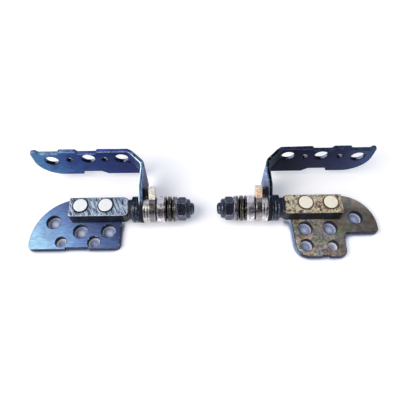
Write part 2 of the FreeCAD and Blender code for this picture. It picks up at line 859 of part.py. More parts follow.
def make_display_bracket(side):
    """One folded sheet: arm with its ring, two bends, and the blade with tabs, notch and holes."""
    hand = HAND[side]
    body = new_body(f"{side}_display_bracket", SEAT[side], AXIS_DEPTH, AXIS_HEIGHT)
    outline, inner_bends, outer_bends = arm_plan()
    base = -SIZE["ring_radius"]
    plan = new_sketch(body, "XY_Plane", f"{side}_arm_plan", base)
    add_polygon(plan, [(station * hand, back) for station, back in outline])
    arm = add_pad(body, plan, BLADE_TOP - base)
    for bends, radius in ((inner_bends, SIZE["bend_radius"]), (outer_bends, SIZE["bend_radius"] + SHEET)):
        spots = [(station * hand, back) for station, back in bends]
        arm = dress(body, "Fillet", arm, edges_at(arm, 2, spots), radius)
    profile = new_sketch(body, "YZ_Plane", f"{side}_arm_profile")
    add_arm_cut(profile)
    cut_through(body, profile)

    front = new_sketch(body, "XZ_Plane", f"{side}_blade_outline", -SIZE["blade_front"])
    stub = inner_bends[0][0] - SHEET / 2
    add_polygon(front, [(station * hand, height) for station, height in blade_outline(side, stub)])
    blade = add_pad(body, front, SHEET, reverse=True)
    reach = SIZE[f"{side}_blade_reach"] * -hand
    bottom = SIZE["blade_bottom"]
    room = BLADE_TOP - bottom - SIZE["blade_corner"] - SIZE["running_clearance"]
    sweep = smaller(SIZE["blade_sweep_radius"], room)
    for height, radius in ((bottom, sweep), (BLADE_TOP, SIZE["blade_corner"])):
        blade = dress(body, "Fillet", blade, edges_at(blade, 1, [(reach, height)]), radius)

    holes = new_sketch(body, "XZ_Plane", f"{side}_blade_holes", -SIZE["blade_front"])
    for names, diameter in ((BLADE_HOLES, "blade_hole_diameter"), (BLADE_PIPS, "pip_hole_diameter")):
        for name in names:
            along = SIZE[f"{name}_along"] * -hand
            add_circle(holes, along, SIZE[f"{name}_height"], SIZE[diameter])
    cut_through(body, holes)

    bore = new_sketch(body, "YZ_Plane", f"{side}_arm_bore")
    add_circle(bore, ZERO, ZERO, SIZE["journal_diameter"] + SIZE["running_clearance"] * 2)
    gap = SIZE["dog_clearance"]
    add_polygon(bore, tab_block(
        SIZE["dog_inner_radius"] - gap,
        SIZE["dog_outer_radius"] + gap,
        SIZE["dog_width"] + gap * 2,
    ))
    cut_through(body, bore)
    return body


def make_hinge(side):
    """All pieces of one hinge, from the base plate to the nut."""
    washer = SIZE["washer_diameter"]
    pieces = [make_base_plate(side), make_shaft(side)]
    pieces.extend(make_rivet(side, rivet) for rivet in RIVETS)
    pieces.append(make_display_bracket(side))
    for number in range(1, INNER_WASHERS + 1):
        thickness = SIZE["inner_washer_thickness"]
        pieces.append(make_keyed_washer(side, f"inner_washer_{number}", washer, thickness))
    for number in range(1, FRICTION_WASHERS + 1):
        thickness = SIZE["friction_washer_thickness"]
        pieces.append(make_keyed_washer(side, f"friction_washer_{number}", washer, thickness))
    pieces.append(make_drive_washer(side))
    spacer = SIZE["spacer_diameter"]
    pieces.append(make_keyed_washer(side, "spacer_washer", spacer, SIZE["spacer_thickness"]))
    thickness = SIZE["pressure_washer_thickness"]
    bevel = SIZE["pressure_washer_chamfer"]
    pieces.append(make_keyed_washer(side, "pressure_washer", washer, thickness, bevel))
    pieces.extend(make_disc_spring(side, number) for number in range(1, DISC_SPRINGS + 1))
    lock_washer = SIZE["lock_washer_diameter"]
    pieces.append(make_keyed_washer(side, "lock_washer", lock_washer, SIZE["lock_washer_thickness"]))
    pieces.append(make_lock_nut(side))
    return pieces


def check_document(pieces):
    """Stop if any object failed or any piece is not one valid solid."""
    for item in doc.Objects:
        if "Invalid" in item.State or "Error" in item.State:
            raise RuntimeError(f"{item.Label} failed: {item.State}")
    for piece in pieces:
        shape = piece.Shape
        if shape.isNull() or not shape.isValid() or len(shape.Solids) != 1:
            raise RuntimeError(f"{piece.Label} is not one valid solid")


hinges = [piece for side in SIDES for piece in make_hinge(side)]
doc.recompute()
check_document(hinges)
os.makedirs("parts", exist_ok=True)
for piece in hinges:
    piece.Shape.exportStep(f"parts/{piece.Label}.step")
    box = piece.Shape.BoundBox
    print(f"{piece.Label}: {piece.Shape.Volume:.2f} mm3, z {box.ZMin:.2f} to {box.ZMax:.2f}")
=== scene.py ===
import functools
import json
import math

import bmesh
import bpy
from mathutils import Matrix, Vector
from mathutils.bvhtree import BVHTree


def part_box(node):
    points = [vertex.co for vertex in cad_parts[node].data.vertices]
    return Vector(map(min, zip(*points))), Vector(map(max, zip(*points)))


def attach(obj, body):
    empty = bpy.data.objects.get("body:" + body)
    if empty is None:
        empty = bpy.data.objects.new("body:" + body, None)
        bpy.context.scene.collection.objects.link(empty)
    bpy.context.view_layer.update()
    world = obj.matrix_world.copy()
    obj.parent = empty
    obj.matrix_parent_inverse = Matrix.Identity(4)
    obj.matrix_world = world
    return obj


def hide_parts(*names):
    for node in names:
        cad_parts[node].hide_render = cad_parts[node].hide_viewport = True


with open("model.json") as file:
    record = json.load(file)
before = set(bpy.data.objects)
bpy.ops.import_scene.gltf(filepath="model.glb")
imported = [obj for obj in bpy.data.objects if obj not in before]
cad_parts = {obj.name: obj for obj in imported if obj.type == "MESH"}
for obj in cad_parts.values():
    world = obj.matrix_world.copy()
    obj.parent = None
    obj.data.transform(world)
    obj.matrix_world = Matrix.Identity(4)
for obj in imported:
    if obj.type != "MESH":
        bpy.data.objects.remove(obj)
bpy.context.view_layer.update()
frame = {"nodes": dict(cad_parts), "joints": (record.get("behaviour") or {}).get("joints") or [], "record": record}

bl_info = {
    "name": "Laptop Hinge Pair",
    "version": (1, 0, 0),
    "blender": (4, 5, 0),
    "location": "View3D > Sidebar > Hinges",
    "description": "Finishes a pair of friction hinges for a laptop lid and sets up their studio",
    "category": "Object",
}

MM = 0.001
SIDES = ("left", "right")
OUTWARDS = {"left": -1, "right": 1}
AXIS = {joint["child"].split("_")[0]: Vector(joint["pos_m"]) for joint in frame["joints"]}
BODY_OF = {
    node: body for body, nodes in frame["record"]["behaviour"]["bodies"].items() for node in nodes
}
RIM = "rim"
FLOAT = "NodeSocketFloat"
VECTOR = "NodeSocketVector"
RIVETS = ("rivet_inner", "rivet_outer")
# Stack kinds made lighter on the right as painted light
PAINTED_LIGHTER_ON_THE_RIGHT = ("thin washer", "lock washer", "pressure washer")

# Rounding of the edges
MERGE = 0.02 * MM  # vertices that lie closer are one
SHARP = math.radians(28)  # faces that turn more form an edge
LEAST_SKIN = 2.2  # narrowest skin that gets strips, in widths of the rounding
ROUND_SHIFT = 1 - math.sqrt(0.5)  # how far an edge is drawn in, in widths of the rounding
SAME_WAY = 0.8  # faces with a larger cosine between them count as one
UNTANGLE_ROUNDS = 24
DRAW_BACK = 0.25  # share of the way back to the edge in one round

# Stud threads
THREAD_RADIUS = 1.42 * MM
STUD_BEVEL = 0.5 * MM
POINTS_A_TURN = 48
RIDGE_SIDES = 4

# Depth of the relief in each kind of finish
BRUSHED = 0.012 * MM
SPECKLED = 0.015 * MM
MOTTLED = 0.02 * MM

# Places of the masks
# On the right the ground top starts 0.5 mm further out, leaving painted shade on the tang's inner end
TANG_ROOT = {"left": 1.4, "right": 1.9}  # millimetres outwards from the hinge point
BLADE_STEP = (1.2, 1.0)  # millimetres in from the bracket's back and top, start and end
GRINDING_ANGLE = math.radians(-24)

# Stage
PLATES_FROM, PLATES_FULL = 19.5, 20.5  # X in millimetres from which the floor lies under the plates
GLOW_FROM, GLOW_FULL = 80.0, 400.0  # millimetres over which the floor turns plain white
DOME_OPENING = (0.0, -0.36, 0.93)


def shade(red, green, blue):
    """Linear colour of a screen colour given from 0 to 255."""
    parts = []
    for part in (red, green, blue):
        value = part / 255
        parts.append(value / 12.92 if value <= 0.04045 else ((value + 0.055) / 1.055) ** 2.4)
    return tuple(parts)


# Tints of wear, of painted shade and light, and of hollows

LEFT_PLATE_BLOOM = shade(112, 110, 180)
LEFT_PLATE_WEAR_AND_HIGHLIGHT = shade(176, 204, 236)
RIGHT_PLATE_SIDE_REFLECTION = shade(112, 140, 178)
RIGHT_PLATE_RIM_SHADE = shade(20, 22, 28)
RIGHT_PLATE_WEAR_AND_HIGHLIGHT = shade(160, 172, 186)
BLADE_BLOOM = shade(46, 38, 110)
HOLE_PAINTED_SHADE = shade(16, 20, 40)
HOLE_PAINTED_LIGHT = shade(172, 182, 216)
ARM_STACK_SHADE = shade(44, 42, 62)
ARM_EYE_SHADE = shade(40, 42, 52)
TANG_PAINTED_SHEEN = shade(230, 242, 250)
TANG_ROSE = shade(146, 104, 84)
TANG_END = shade(124, 96, 76)
TANG_FLECK = shade(255, 238, 198)
TANG_WEAR_AND_HIGHLIGHT = {"left": shade(232, 240, 246), "right": shade(240, 224, 190)}
SHAFT_WEAR_AND_HIGHLIGHT = shade(128, 134, 146)
RIVET_RING_SHADE = {"left": shade(14, 14, 20), "right": shade(112, 88, 66)}
RIVET_SIDE_SHADE = shade(30, 32, 40)
STACK_FRONT_SHADE = shade(30, 30, 36)
DRIVE_STEEL = shade(142, 136, 134)
BRASS_WORN = shade(250, 244, 230)
BRASS_DOG_SHADE = shade(40, 32, 34)
NUT_WEAR_AND_HIGHLIGHT = shade(206, 222, 232)
THREAD_WORN = shade(130, 140, 150)
PAPER_GLOW = shade(248, 249, 255)
DOME_MIRRORED = shade(226, 234, 255)
DOME_DARK = shade(48, 54, 72)
DOME_LOW = shade(120, 130, 156)
DOME_HIGH = shade(230, 238, 255)
WHITE = shade(255, 255, 255)
KEY_TINT = shade(255, 249, 238)

# Settings


def length(description, millimetres):
    """A setting that holds a length, with its default in millimetres."""
    return bpy.props.FloatProperty(
        description=description, default=millimetres * MM, min=0.0, precision=5, unit="LENGTH"
    )


def point(description, *millimetres):
    """A setting that holds a point, with its default in millimetres."""
    return bpy.props.FloatVectorProperty(
        description=description, default=[part * MM for part in millimetres], size=3, unit="LENGTH"
    )


def colour(description, *screen):
    """A setting that holds a colour, with its default as a screen colour."""
    return bpy.props.FloatVectorProperty(
        description=description, default=shade(*screen), min=0.0, max=1.0, size=3, subtype="COLOR"
    )


def angle(description, degrees):
    """A setting that holds an angle, with its default in degrees."""
    return bpy.props.FloatProperty(
        description=description, default=math.radians(degrees), subtype="ANGLE"
    )


def amount(description, default):
    """A setting that holds a plain number."""
    return bpy.props.FloatProperty(description=description, default=default, min=0.0)


class HingeSizes(bpy.types.PropertyGroup):
    """Sizes of the edge rounding and of the thread on the studs."""

    plate_rim: length("Rounding along the stamped edges of the base plates", 0.16)
    bracket_rim: length("Rounding along the edges of the display brackets", 0.26)
    tang_rim: length("Rounding along the edges of the tang and the shaft", 0.15)
    rivet_rim: length("Rounding along the edge of the rivet heads", 0.05)
    washer_rim: length("Rounding along the edges of the washers and springs", 0.1)
    nut_rim: length("Rounding along the edges of the lock nuts", 0.1)
    thread_pitch: length("Distance from one turn of the stud's thread to the next", 0.4)
    thread_depth: length("Height of the stud's thread", 0.11)


class HingeColours(bpy.types.PropertyGroup):
    """Colours of the finishes; those that each side has for itself follow in a table."""

    # The left plate's outer, middle and inner colours are partly the bluing and partly a painted reflection
    left_plate_outer: colour("Blued steel at the outer end", 176, 226, 255)
    left_plate_middle: colour("Blued steel half-way along", 122, 158, 214)
    left_plate_inner: colour("Blued steel beside the stack", 64, 78, 130)
    right_plate_grey: colour("Bare oxide on the plate", 142, 138, 130)
    right_plate_brown: colour("Brown temper patches", 142, 116, 100)
    right_plate_green: colour("Olive temper patches", 117, 124, 97)
    right_plate_purple: colour("Purple temper patches", 105, 98, 125)
    # Plate walls: the dark sheared edges, darkened further as painted shade
    plate_wall: colour("Sheared edges of the plates", 24, 30, 50)
    # The left plate's dark rim line is painted shade
    plate_rim: colour("Dark line along the rounded edges of the left plate", 24, 32, 56)
    tang_silver: colour("Ground top face of the left tang", 184, 206, 232)
    tang_streak: colour("Dark grinding marks of the left tang", 46, 58, 82)
    tang_gold: colour("Golden top face of the right tang", 255, 240, 204)
    tang_grain: colour("Dark grain of the right tang", 66, 42, 26)
    # Tang sides: blackened steel, darkened further as painted shade
    tang_wall: colour("Sides of the tangs", 26, 30, 42)
    shaft_black: colour("Blackened steel of the shafts and the inner washers", 50, 56, 70)
    dark_steel: colour("Blackened steel of the nuts and the studs' threads", 72, 78, 94)
    spring_steel: colour("Dark steel with a golden cast", 74, 71, 70)
    lock_grey: colour("Darker grey of the washer under the nut", 120, 116, 124)
    washer_grey: colour("Grey of the thin washers", 196, 188, 190)
    pressure_pink: colour("Silver with a pink cast", 212, 200, 206)
    # The right washers are made lighter than the left ones as painted light
    right_stack_gain: amount("Brightness of the right washers against the left ones", 1.4)


# Key, description, left colour and right colour
SIDED_COLOURS = (
    ("blade_outer", "Outer end of the blade", (86, 136, 180), (64, 86, 130)),
    ("blade_middle", "Middle of the blade", (56, 88, 154), (44, 50, 84)),
    ("blade_inner", "Inner part of the blade", (44, 58, 120), (30, 32, 48)),
    # The blade's upper edges are lighter as painted light
    ("edge", "Upper edges of the blade", (138, 182, 218), (62, 74, 92)),
    ("edge_inner", "Upper edges of the blade near the corner", (70, 80, 150), (50, 56, 88)),
    ("edge_line", "Line along the front of the upper edges", (150, 174, 222), (84, 98, 124)),
    ("arm_top", "Worn marks on the upper edge of the arm", (110, 144, 176), (138, 158, 196)),
    ("arm_side", "Face of the arm towards the stack", (96, 102, 144), (144, 172, 216)),
    # The dark rims of the brackets are painted shade
    ("rim", "Rounded edges of the bracket", (18, 24, 44), (16, 22, 30)),
    # A painted highlight on the arm's left edge and on the rubbed rims
    ("glint", "Worn left edge of the arm", (216, 244, 250), (128, 146, 168)),
    ("rivet", "Flat of the rivet heads", (252, 255, 255), (255, 249, 228)),
    ("brass", "Tab of the drive washer", (255, 248, 230), (244, 208, 172)),
)
for key, description, *screens in SIDED_COLOURS:
    for side, screen in zip(SIDES, screens):
        HingeColours.__annotations__[f"{side}_{key}"] = colour(description, *screen)


class HingeStage(bpy.types.PropertyGroup):
    """Camera, light and floor."""

    elevation: angle("Height of the camera above the horizon", 63.0)
    roll: angle("Turn of the camera about its own line of sight", 0.8)
    distance: length("From the camera to the point that it looks at", 106.0)
    target: point("Point that the camera looks at", -0.95, 2.3, 3.5)
    lens: amount("Focal length on a sensor 36 mm wide", 38.2)
    floor_reach: length("Half the width of the floor", 3000.0)
    floor_white: colour("Paper under the hinges", 240, 240, 242)
    # Painted shade on the paper seen through the holes
    floor_shade: colour("Paper seen through the holes", 116, 134, 180)
    shade_reach: length("Distance over which the paper darkens beside the steel", 3.0)
    floor_glow: amount("Brightness that the floor adds where the camera sees it", 0.32)
    key_power: amount("Power of the soft light on the left", 8.6)
    key_size: length("Width of the soft light", 760.0)
    key_place: point("Place of the soft light on the left", -620.0, -200.0, 760.0)
    dome_strength: amount("Brightness of the pale dome", 0.64)


for settings in (HingeSizes, HingeColours, HingeStage):
    for key, setting in settings.__annotations__.items():
        setting.keywords["name"] = key.replace("_", " ").capitalize()


# Node helpers


class Nodes:
    """Short ways to place and link the nodes of one tree."""

    def __init__(self, tree):
        self.tree = tree

    def add(self, kind, inputs=None, **settings):
        """Place a node, set its options and feed its inputs with values or links."""
        node = self.tree.nodes.new(kind)
        for name, value in settings.items():
            setattr(node, name, value)
        for name, value in (inputs or {}).items():
            self.feed(node.inputs[name], value)
        return node

    def feed(self, socket, value):
        """Link an output to the socket, or set the socket's own value."""
        if isinstance(value, bpy.types.NodeSocket):
            self.tree.links.new(value, socket)
        elif socket.type == "RGBA":
            socket.default_value = (*value[:3], 1.0)
        else:
            socket.default_value = value

    def maths(self, operation, first, second=0.0, clamp=False):
        """One step of arithmetic."""
        node = self.add("ShaderNodeMath", {0: first, 1: second}, operation=operation, use_clamp=clamp)
        return node.outputs[0]

    def times(self, first, *others):
        """Product of values."""
        for other in others:
            first = self.maths("MULTIPLY", first, other)
        return first

    def less(self, value):
        """One minus a value."""
        return self.maths("SUBTRACT", 1.0, value)

    def between(self, value, low, high, start=0.0, end=1.0):
        """Smooth step from start to end while the value goes from low to high."""
        node = self.add(
            "ShaderNodeMapRange",
            {"Value": value, "From Min": low, "From Max": high, "To Min": start, "To Max": end},
            interpolation_type="SMOOTHSTEP",
        )
        return node.outputs["Result"]

    def mix(self, factor, first, second, blend="MIX"):
        """Mix two colours."""
        node = self.add("ShaderNodeMix", data_type="RGBA", blend_type=blend, clamp_factor=True)
        self.feed(node.inputs["Factor"], factor)
        colours = [socket for socket in node.inputs if socket.type == "RGBA"]
        self.feed(colours[0], first)
        self.feed(colours[1], second)
        return [socket for socket in node.outputs if socket.type == "RGBA"][0]

    def dimmed(self, tint, factor):
        """A colour times a plain factor."""
        grey = self.add("ShaderNodeCombineColor", {0: factor, 1: factor, 2: factor}).outputs[0]
        return self.mix(1.0, tint, grey, "MULTIPLY")

    def ramp(self, value, stops):
        """Colour ramp with stops as pairs of place and colour."""
        node = self.add("ShaderNodeValToRGB", {"Fac": value})
        elements = node.color_ramp.elements
        while len(elements) < len(stops):
            elements.new(1.0)
        for element, (place, tint) in zip(elements, stops):
            element.position = place
            element.color = (*tint, 1.0)
        return node.outputs["Color"]

    def noise(self, vector, scale, detail=3.0, roughness=0.55, distortion=0.0):
        """Value of a noise texture."""
        node = self.add(
            "ShaderNodeTexNoise",
            {
                "Vector": vector, "Scale": scale, "Detail": detail,
                "Roughness": roughness, "Distortion": distortion,
            },
        )
        return node.outputs["Fac"]

    def scaled(self, vector, factors):
        """Vector times a factor along each axis."""
        node = self.add("ShaderNodeVectorMath", {0: vector, 1: factors}, operation="MULTIPLY")
        return node.outputs["Vector"]

    def group(self, tree, inputs=None):
        """Place a node group and feed it."""
        return self.add("ShaderNodeGroup", inputs, node_tree=tree).outputs


def new_group(name, inputs, outputs, tree_type="ShaderNodeTree"):
    """A node group with named sockets; returns the helper, what the group is given and its outputs."""
    tree = bpy.data.node_groups.new(name, tree_type)
    for label, kind, default in inputs:
        socket = tree.interface.new_socket(name=label, in_out="INPUT", socket_type=kind)
        if default is not None:
            socket.default_value = default
    for label, kind in outputs:
        tree.interface.new_socket(name=label, in_out="OUTPUT", socket_type=kind)
    nodes = Nodes(tree)
    return nodes, nodes.add("NodeGroupInput").outputs, nodes.add("NodeGroupOutput").inputs


@functools.cache
def space_group():
    """Place on the piece in millimetres and the way the surface faces, both fixed to the piece."""
    nodes, _, out = new_group(
        "Hinge Space", [],
        [("Place", VECTOR)] + [(name, FLOAT) for name in ("X", "Y", "Z", "Up", "Back", "Right")],
    )
    where = nodes.add("ShaderNodeTexCoord")
    place = nodes.scaled(where.outputs["Object"], (1 / MM, 1 / MM, 1 / MM))
    axes = nodes.add("ShaderNodeSeparateXYZ", {0: place}).outputs
    faces = nodes.add("ShaderNodeSeparateXYZ", {0: where.outputs["Normal"]}).outputs
    nodes.feed(out["Place"], place)
    for name in ("X", "Y", "Z"):
        nodes.feed(out[name], axes[name])
    for name, axis in (("Right", "X"), ("Back", "Y"), ("Up", "Z")):
        nodes.feed(out[name], faces[axis])
    return nodes.tree


@functools.cache
def grain_group():
    """Brushed grain: fine strokes that run along X."""
    nodes, given, out = new_group(
        "Hinge Brushed Grain",
        [("Place", VECTOR, None), ("Stroke", FLOAT, 0.35), ("Fineness", FLOAT, 5.0)],
        [("Grain", FLOAT)],
    )
    fine = given["Fineness"]
    spread = nodes.add("ShaderNodeCombineXYZ", {0: given["Stroke"], 1: fine, 2: fine}).outputs[0]
    nodes.feed(out["Grain"], nodes.noise(nodes.scaled(given["Place"], spread), 1.0, 4.0, 0.62, 0.3))
    return nodes.tree


@functools.cache
def speckle_group():
    """Granular speckle: small irregular grains of unequal brightness."""
    nodes, given, out = new_group(
        "Hinge Speckle", [("Place", VECTOR, None), ("Grains", FLOAT, 3.0)], [("Speckle", FLOAT)]
    )
    soft = nodes.noise(given["Place"], given["Grains"], 2.0, 0.6, 0.8)
    nodes.feed(out["Speckle"], nodes.between(soft, 0.36, 0.66))
    return nodes.tree


@functools.cache
def wear_group():
    """Edge wear: the rounded rims of a piece, broken up where the finish has held, also tinted as a painted
    highlight.
    """
    nodes, given, out = new_group(
        "Hinge Edge Wear",
        [("Place", VECTOR, None), ("Hold", FLOAT, 0.45)],
        [("Wear", FLOAT), ("Rim", FLOAT)],
    )
    rim = nodes.add("ShaderNodeAttribute", attribute_name=RIM, attribute_type="GEOMETRY").outputs["Fac"]
    patches = nodes.noise(given["Place"], 1.6, 3.0, 0.6)
    wear_and_highlight = nodes.between(patches, given["Hold"], 0.72)
    nodes.feed(out["Wear"], nodes.maths("MULTIPLY", rim, wear_and_highlight, clamp=True))
    nodes.feed(out["Rim"], rim)
    return nodes.tree


# Finishes


class Finish:
    """A finish under way: the material, its shader and what most finishes need."""

    def __init__(self, name, metallic, roughness):
        self.material = bpy.data.materials.new(name)
        self.material.use_nodes = True
        self.nodes = Nodes(self.material.node_tree)
        self.shader = self.material.node_tree.nodes["Principled BSDF"]
        self.shader.inputs["Metallic"].default_value = metallic
        self.shader.inputs["Roughness"].default_value = roughness
        self.space = self.nodes.group(space_group())
        self.place = self.space["Place"]
        self.x, self.y, self.z = (self.space[axis] for axis in ("X", "Y", "Z"))

    def effect(self, group, output, **inputs):
        """One output of a shared effect."""
        return self.nodes.group(group(), {"Place": self.place, **inputs})[output]

    def wear(self, hold):
        """Mask of the rubbed rims, also tinted as a painted highlight."""
        return self.effect(wear_group, "Wear", Hold=hold)

    def rim(self, strength):
        """Mask of all rounded rims."""
        return self.nodes.times(self.effect(wear_group, "Rim"), strength)

    def grain(self, stroke, fineness):
        """Brushed grain from 0 to 1."""
        return self.effect(grain_group, "Grain", Stroke=stroke, Fineness=fineness)

    def speckle(self, grains):
        """Speckle from 0 to 1."""
        return self.effect(speckle_group, "Speckle", Grains=grains)

    def moved(self, shift):
        """Place on the piece, moved so that a second pattern differs from the first."""
        return self.nodes.add(
            "ShaderNodeVectorMath", {0: self.place, 1: shift}, operation="ADD"
        ).outputs["Vector"]

    def clouds(self, scale, low, high):
        """Mask of soft clouds."""
        return self.nodes.between(self.nodes.noise(self.place, scale, 2.0), low, high)

    def facing(self, way, low=0.45, high=0.8):
        """Mask of the faces that look up, back or right."""
        return self.nodes.between(self.space[way], low, high)

    def away(self, way, low=0.45, high=0.8):
        """Mask of the faces that look the opposite way: down, forward or left."""
        return self.nodes.between(self.nodes.times(self.space[way], -1.0), low, high)

    def gap(self, **line):
        """Distance in millimetres from a line, given by its place on two axes."""
        squares = []
        for axis, middle in line.items():
            leg = self.nodes.maths("SUBTRACT", self.space[axis], middle / MM)
            squares.append(self.nodes.times(leg, leg))
        return self.nodes.maths("SQRT", self.nodes.maths("ADD", *squares))

    def shaded(self, tint, value, depth):
        """A colour made darker and lighter by a value from 0 to 1."""
        return self.nodes.dimmed(tint, self.nodes.between(value, 0.25, 0.75, 1 - depth, 1 + depth))

    def coat(self, tint, roughness=None, height=None, depth=MOTTLED):
        """Send the colour, roughness and relief to the shader."""
        self.nodes.feed(self.shader.inputs["Base Color"], tint)
        if roughness is not None:
            self.nodes.feed(self.shader.inputs["Roughness"], roughness)
        if height is not None:
            relief = {"Height": height, "Distance": depth, "Strength": 0.6}
            bump = self.nodes.add("ShaderNodeBump", relief).outputs["Normal"]
            self.nodes.feed(self.shader.inputs["Normal"], bump)
        return self.material


def colours():
    """The colour settings."""
    return bpy.context.scene.hinge_colours


def own_colour(side, name):
    """The colour setting of one side."""
    return getattr(colours(), f"{side}_{name}")


def sizes():
    """The size settings."""
    return bpy.context.scene.hinge_sizes


def ends(side, node):
    """Outer and inner end of a node along X."""
    low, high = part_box(node)
    return (low.x, high.x) if OUTWARDS[side] < 0 else (high.x, low.x)


def along(finish, outer, inner, sway=0.3):
    """Value that goes from 0 at the outer end to 1 at the inner end, with a cloudy border."""
    nodes = finish.nodes
    cloud = nodes.noise(finish.place, 0.16, 2.0, 0.5)
    span = nodes.add(
        "ShaderNodeMapRange", {"Value": finish.x, "From Min": outer / MM, "From Max": inner / MM}
    ).outputs["Result"]
    drift = nodes.times(nodes.maths("SUBTRACT", cloud, 0.5), sway)
    return nodes.maths("ADD", span, drift, clamp=True)


def near_axis(finish, side, near, far):
    """Mask of what lies close to the shaft: 1 up to the near distance and 0 from the far one on."""
    return finish.nodes.between(finish.gap(Y=AXIS[side].y, Z=AXIS[side].z), near, far, 1.0, 0.0)


def left_plate_finish():
    """Blued steel, light at the outer end and navy beside the stack, with fine strokes; painted shade on walls and
    rims.
    """
    tints = colours()
    finish = Finish("left plate blued steel", 0.4, 0.42)
    nodes = finish.nodes
    # The blend, light at the outer end and navy beside the stack and towards the back, is partly the bluing and
    # partly a painted reflection
    blend = along(finish, *ends("left", "left_base_plate"))
    deeper = nodes.between(finish.y, -9.0, 4.0, -0.1, 0.44)
    blend = nodes.maths("ADD", blend, deeper, clamp=True)
    face = nodes.ramp(blend, [
        (0.0, tints.left_plate_outer), (0.46, tints.left_plate_middle), (0.95, tints.left_plate_inner),
    ])
    grain = finish.grain(0.7, 4.5)
    face = finish.shaded(face, grain, 0.28)
    face = nodes.mix(nodes.times(finish.clouds(0.35, 0.5, 0.72), 0.35), face, LEFT_PLATE_BLOOM)
    # Faces that do not look up take the wall colour, partly painted shade
    tint = nodes.mix(finish.facing("Up"), tints.plate_wall, face)
    # Rims darkened as painted shade, rubbed rims lightened as wear and a painted highlight
    tint = nodes.mix(finish.rim(0.88), tint, tints.plate_rim)
    tint = nodes.mix(finish.wear(0.56), tint, LEFT_PLATE_WEAR_AND_HIGHLIGHT)
    rough = nodes.between(grain, 0.2, 0.8, 0.36, 0.5)
    return finish.coat(tint, rough, grain, BRUSHED)


def right_plate_finish():
    """Steel with mottled temper colours, granular near the tang and smooth at the wing; a painted reflection on
    the inner end's left-facing wall and painted shade on the rims.
    """
    tints = colours()
    finish = Finish("right plate tempered steel", 0.35, 0.45)
    nodes = finish.nodes
    outer, inner = ends("right", "right_base_plate")
    face = tuple(tints.right_plate_grey)
    for tint, shift, low, high in (
        (tints.right_plate_brown, (0.0, 0.0, 0.0), 0.46, 0.64),
        (tints.right_plate_green, (13.0, 7.0, 3.0), 0.5, 0.66),
        (tints.right_plate_purple, (31.0, 17.0, 5.0), 0.58, 0.76),
    ):
        patches = nodes.between(nodes.noise(finish.moved(shift), 0.4, 3.0), low, high)
        face = nodes.mix(patches, face, tint)
    face = finish.shaded(face, nodes.noise(finish.moved((5.0, 23.0, 9.0)), 0.7, 3.0), 0.3)
    near = along(finish, outer, inner)
    lift = nodes.between(near, 0.1, 0.95, 0.54, 1.62)
    lift = nodes.maths("ADD", lift, nodes.between(finish.y, -1.0, 3.0, -0.06, 0.8))
    face = nodes.dimmed(face, lift)
    speckle = finish.speckle(1.6)
    grainy = finish.shaded(face, speckle, 0.5)
    face = nodes.mix(nodes.between(near, 0.25, 0.9, 0.15, 0.9), face, grainy)
    # The left-facing wall at the inner end gets a painted reflection of pale blue
    inner_end = nodes.between(finish.x, inner / MM + 1.2, inner / MM + 2.4, 1.0, 0.0)
    painted_reflection_wall = nodes.times(finish.away("Right"), inner_end)
    wall = nodes.mix(painted_reflection_wall, tints.plate_wall, RIGHT_PLATE_SIDE_REFLECTION)
    tint = nodes.mix(finish.facing("Up"), wall, face)
    # Rims darkened as painted shade, rubbed rims lightened as wear and a painted highlight
    tint = nodes.mix(finish.rim(0.96), tint, RIGHT_PLATE_RIM_SHADE)
    tint = nodes.mix(finish.wear(0.62), tint, RIGHT_PLATE_WEAR_AND_HIGHLIGHT)
    rough = nodes.between(speckle, 0.0, 1.0, 0.38, 0.52)
    return finish.coat(tint, rough, speckle, SPECKLED)


def plate_finish(side):
    """Steel of one base plate."""
    return left_plate_finish() if side == "left" else right_plate_finish()


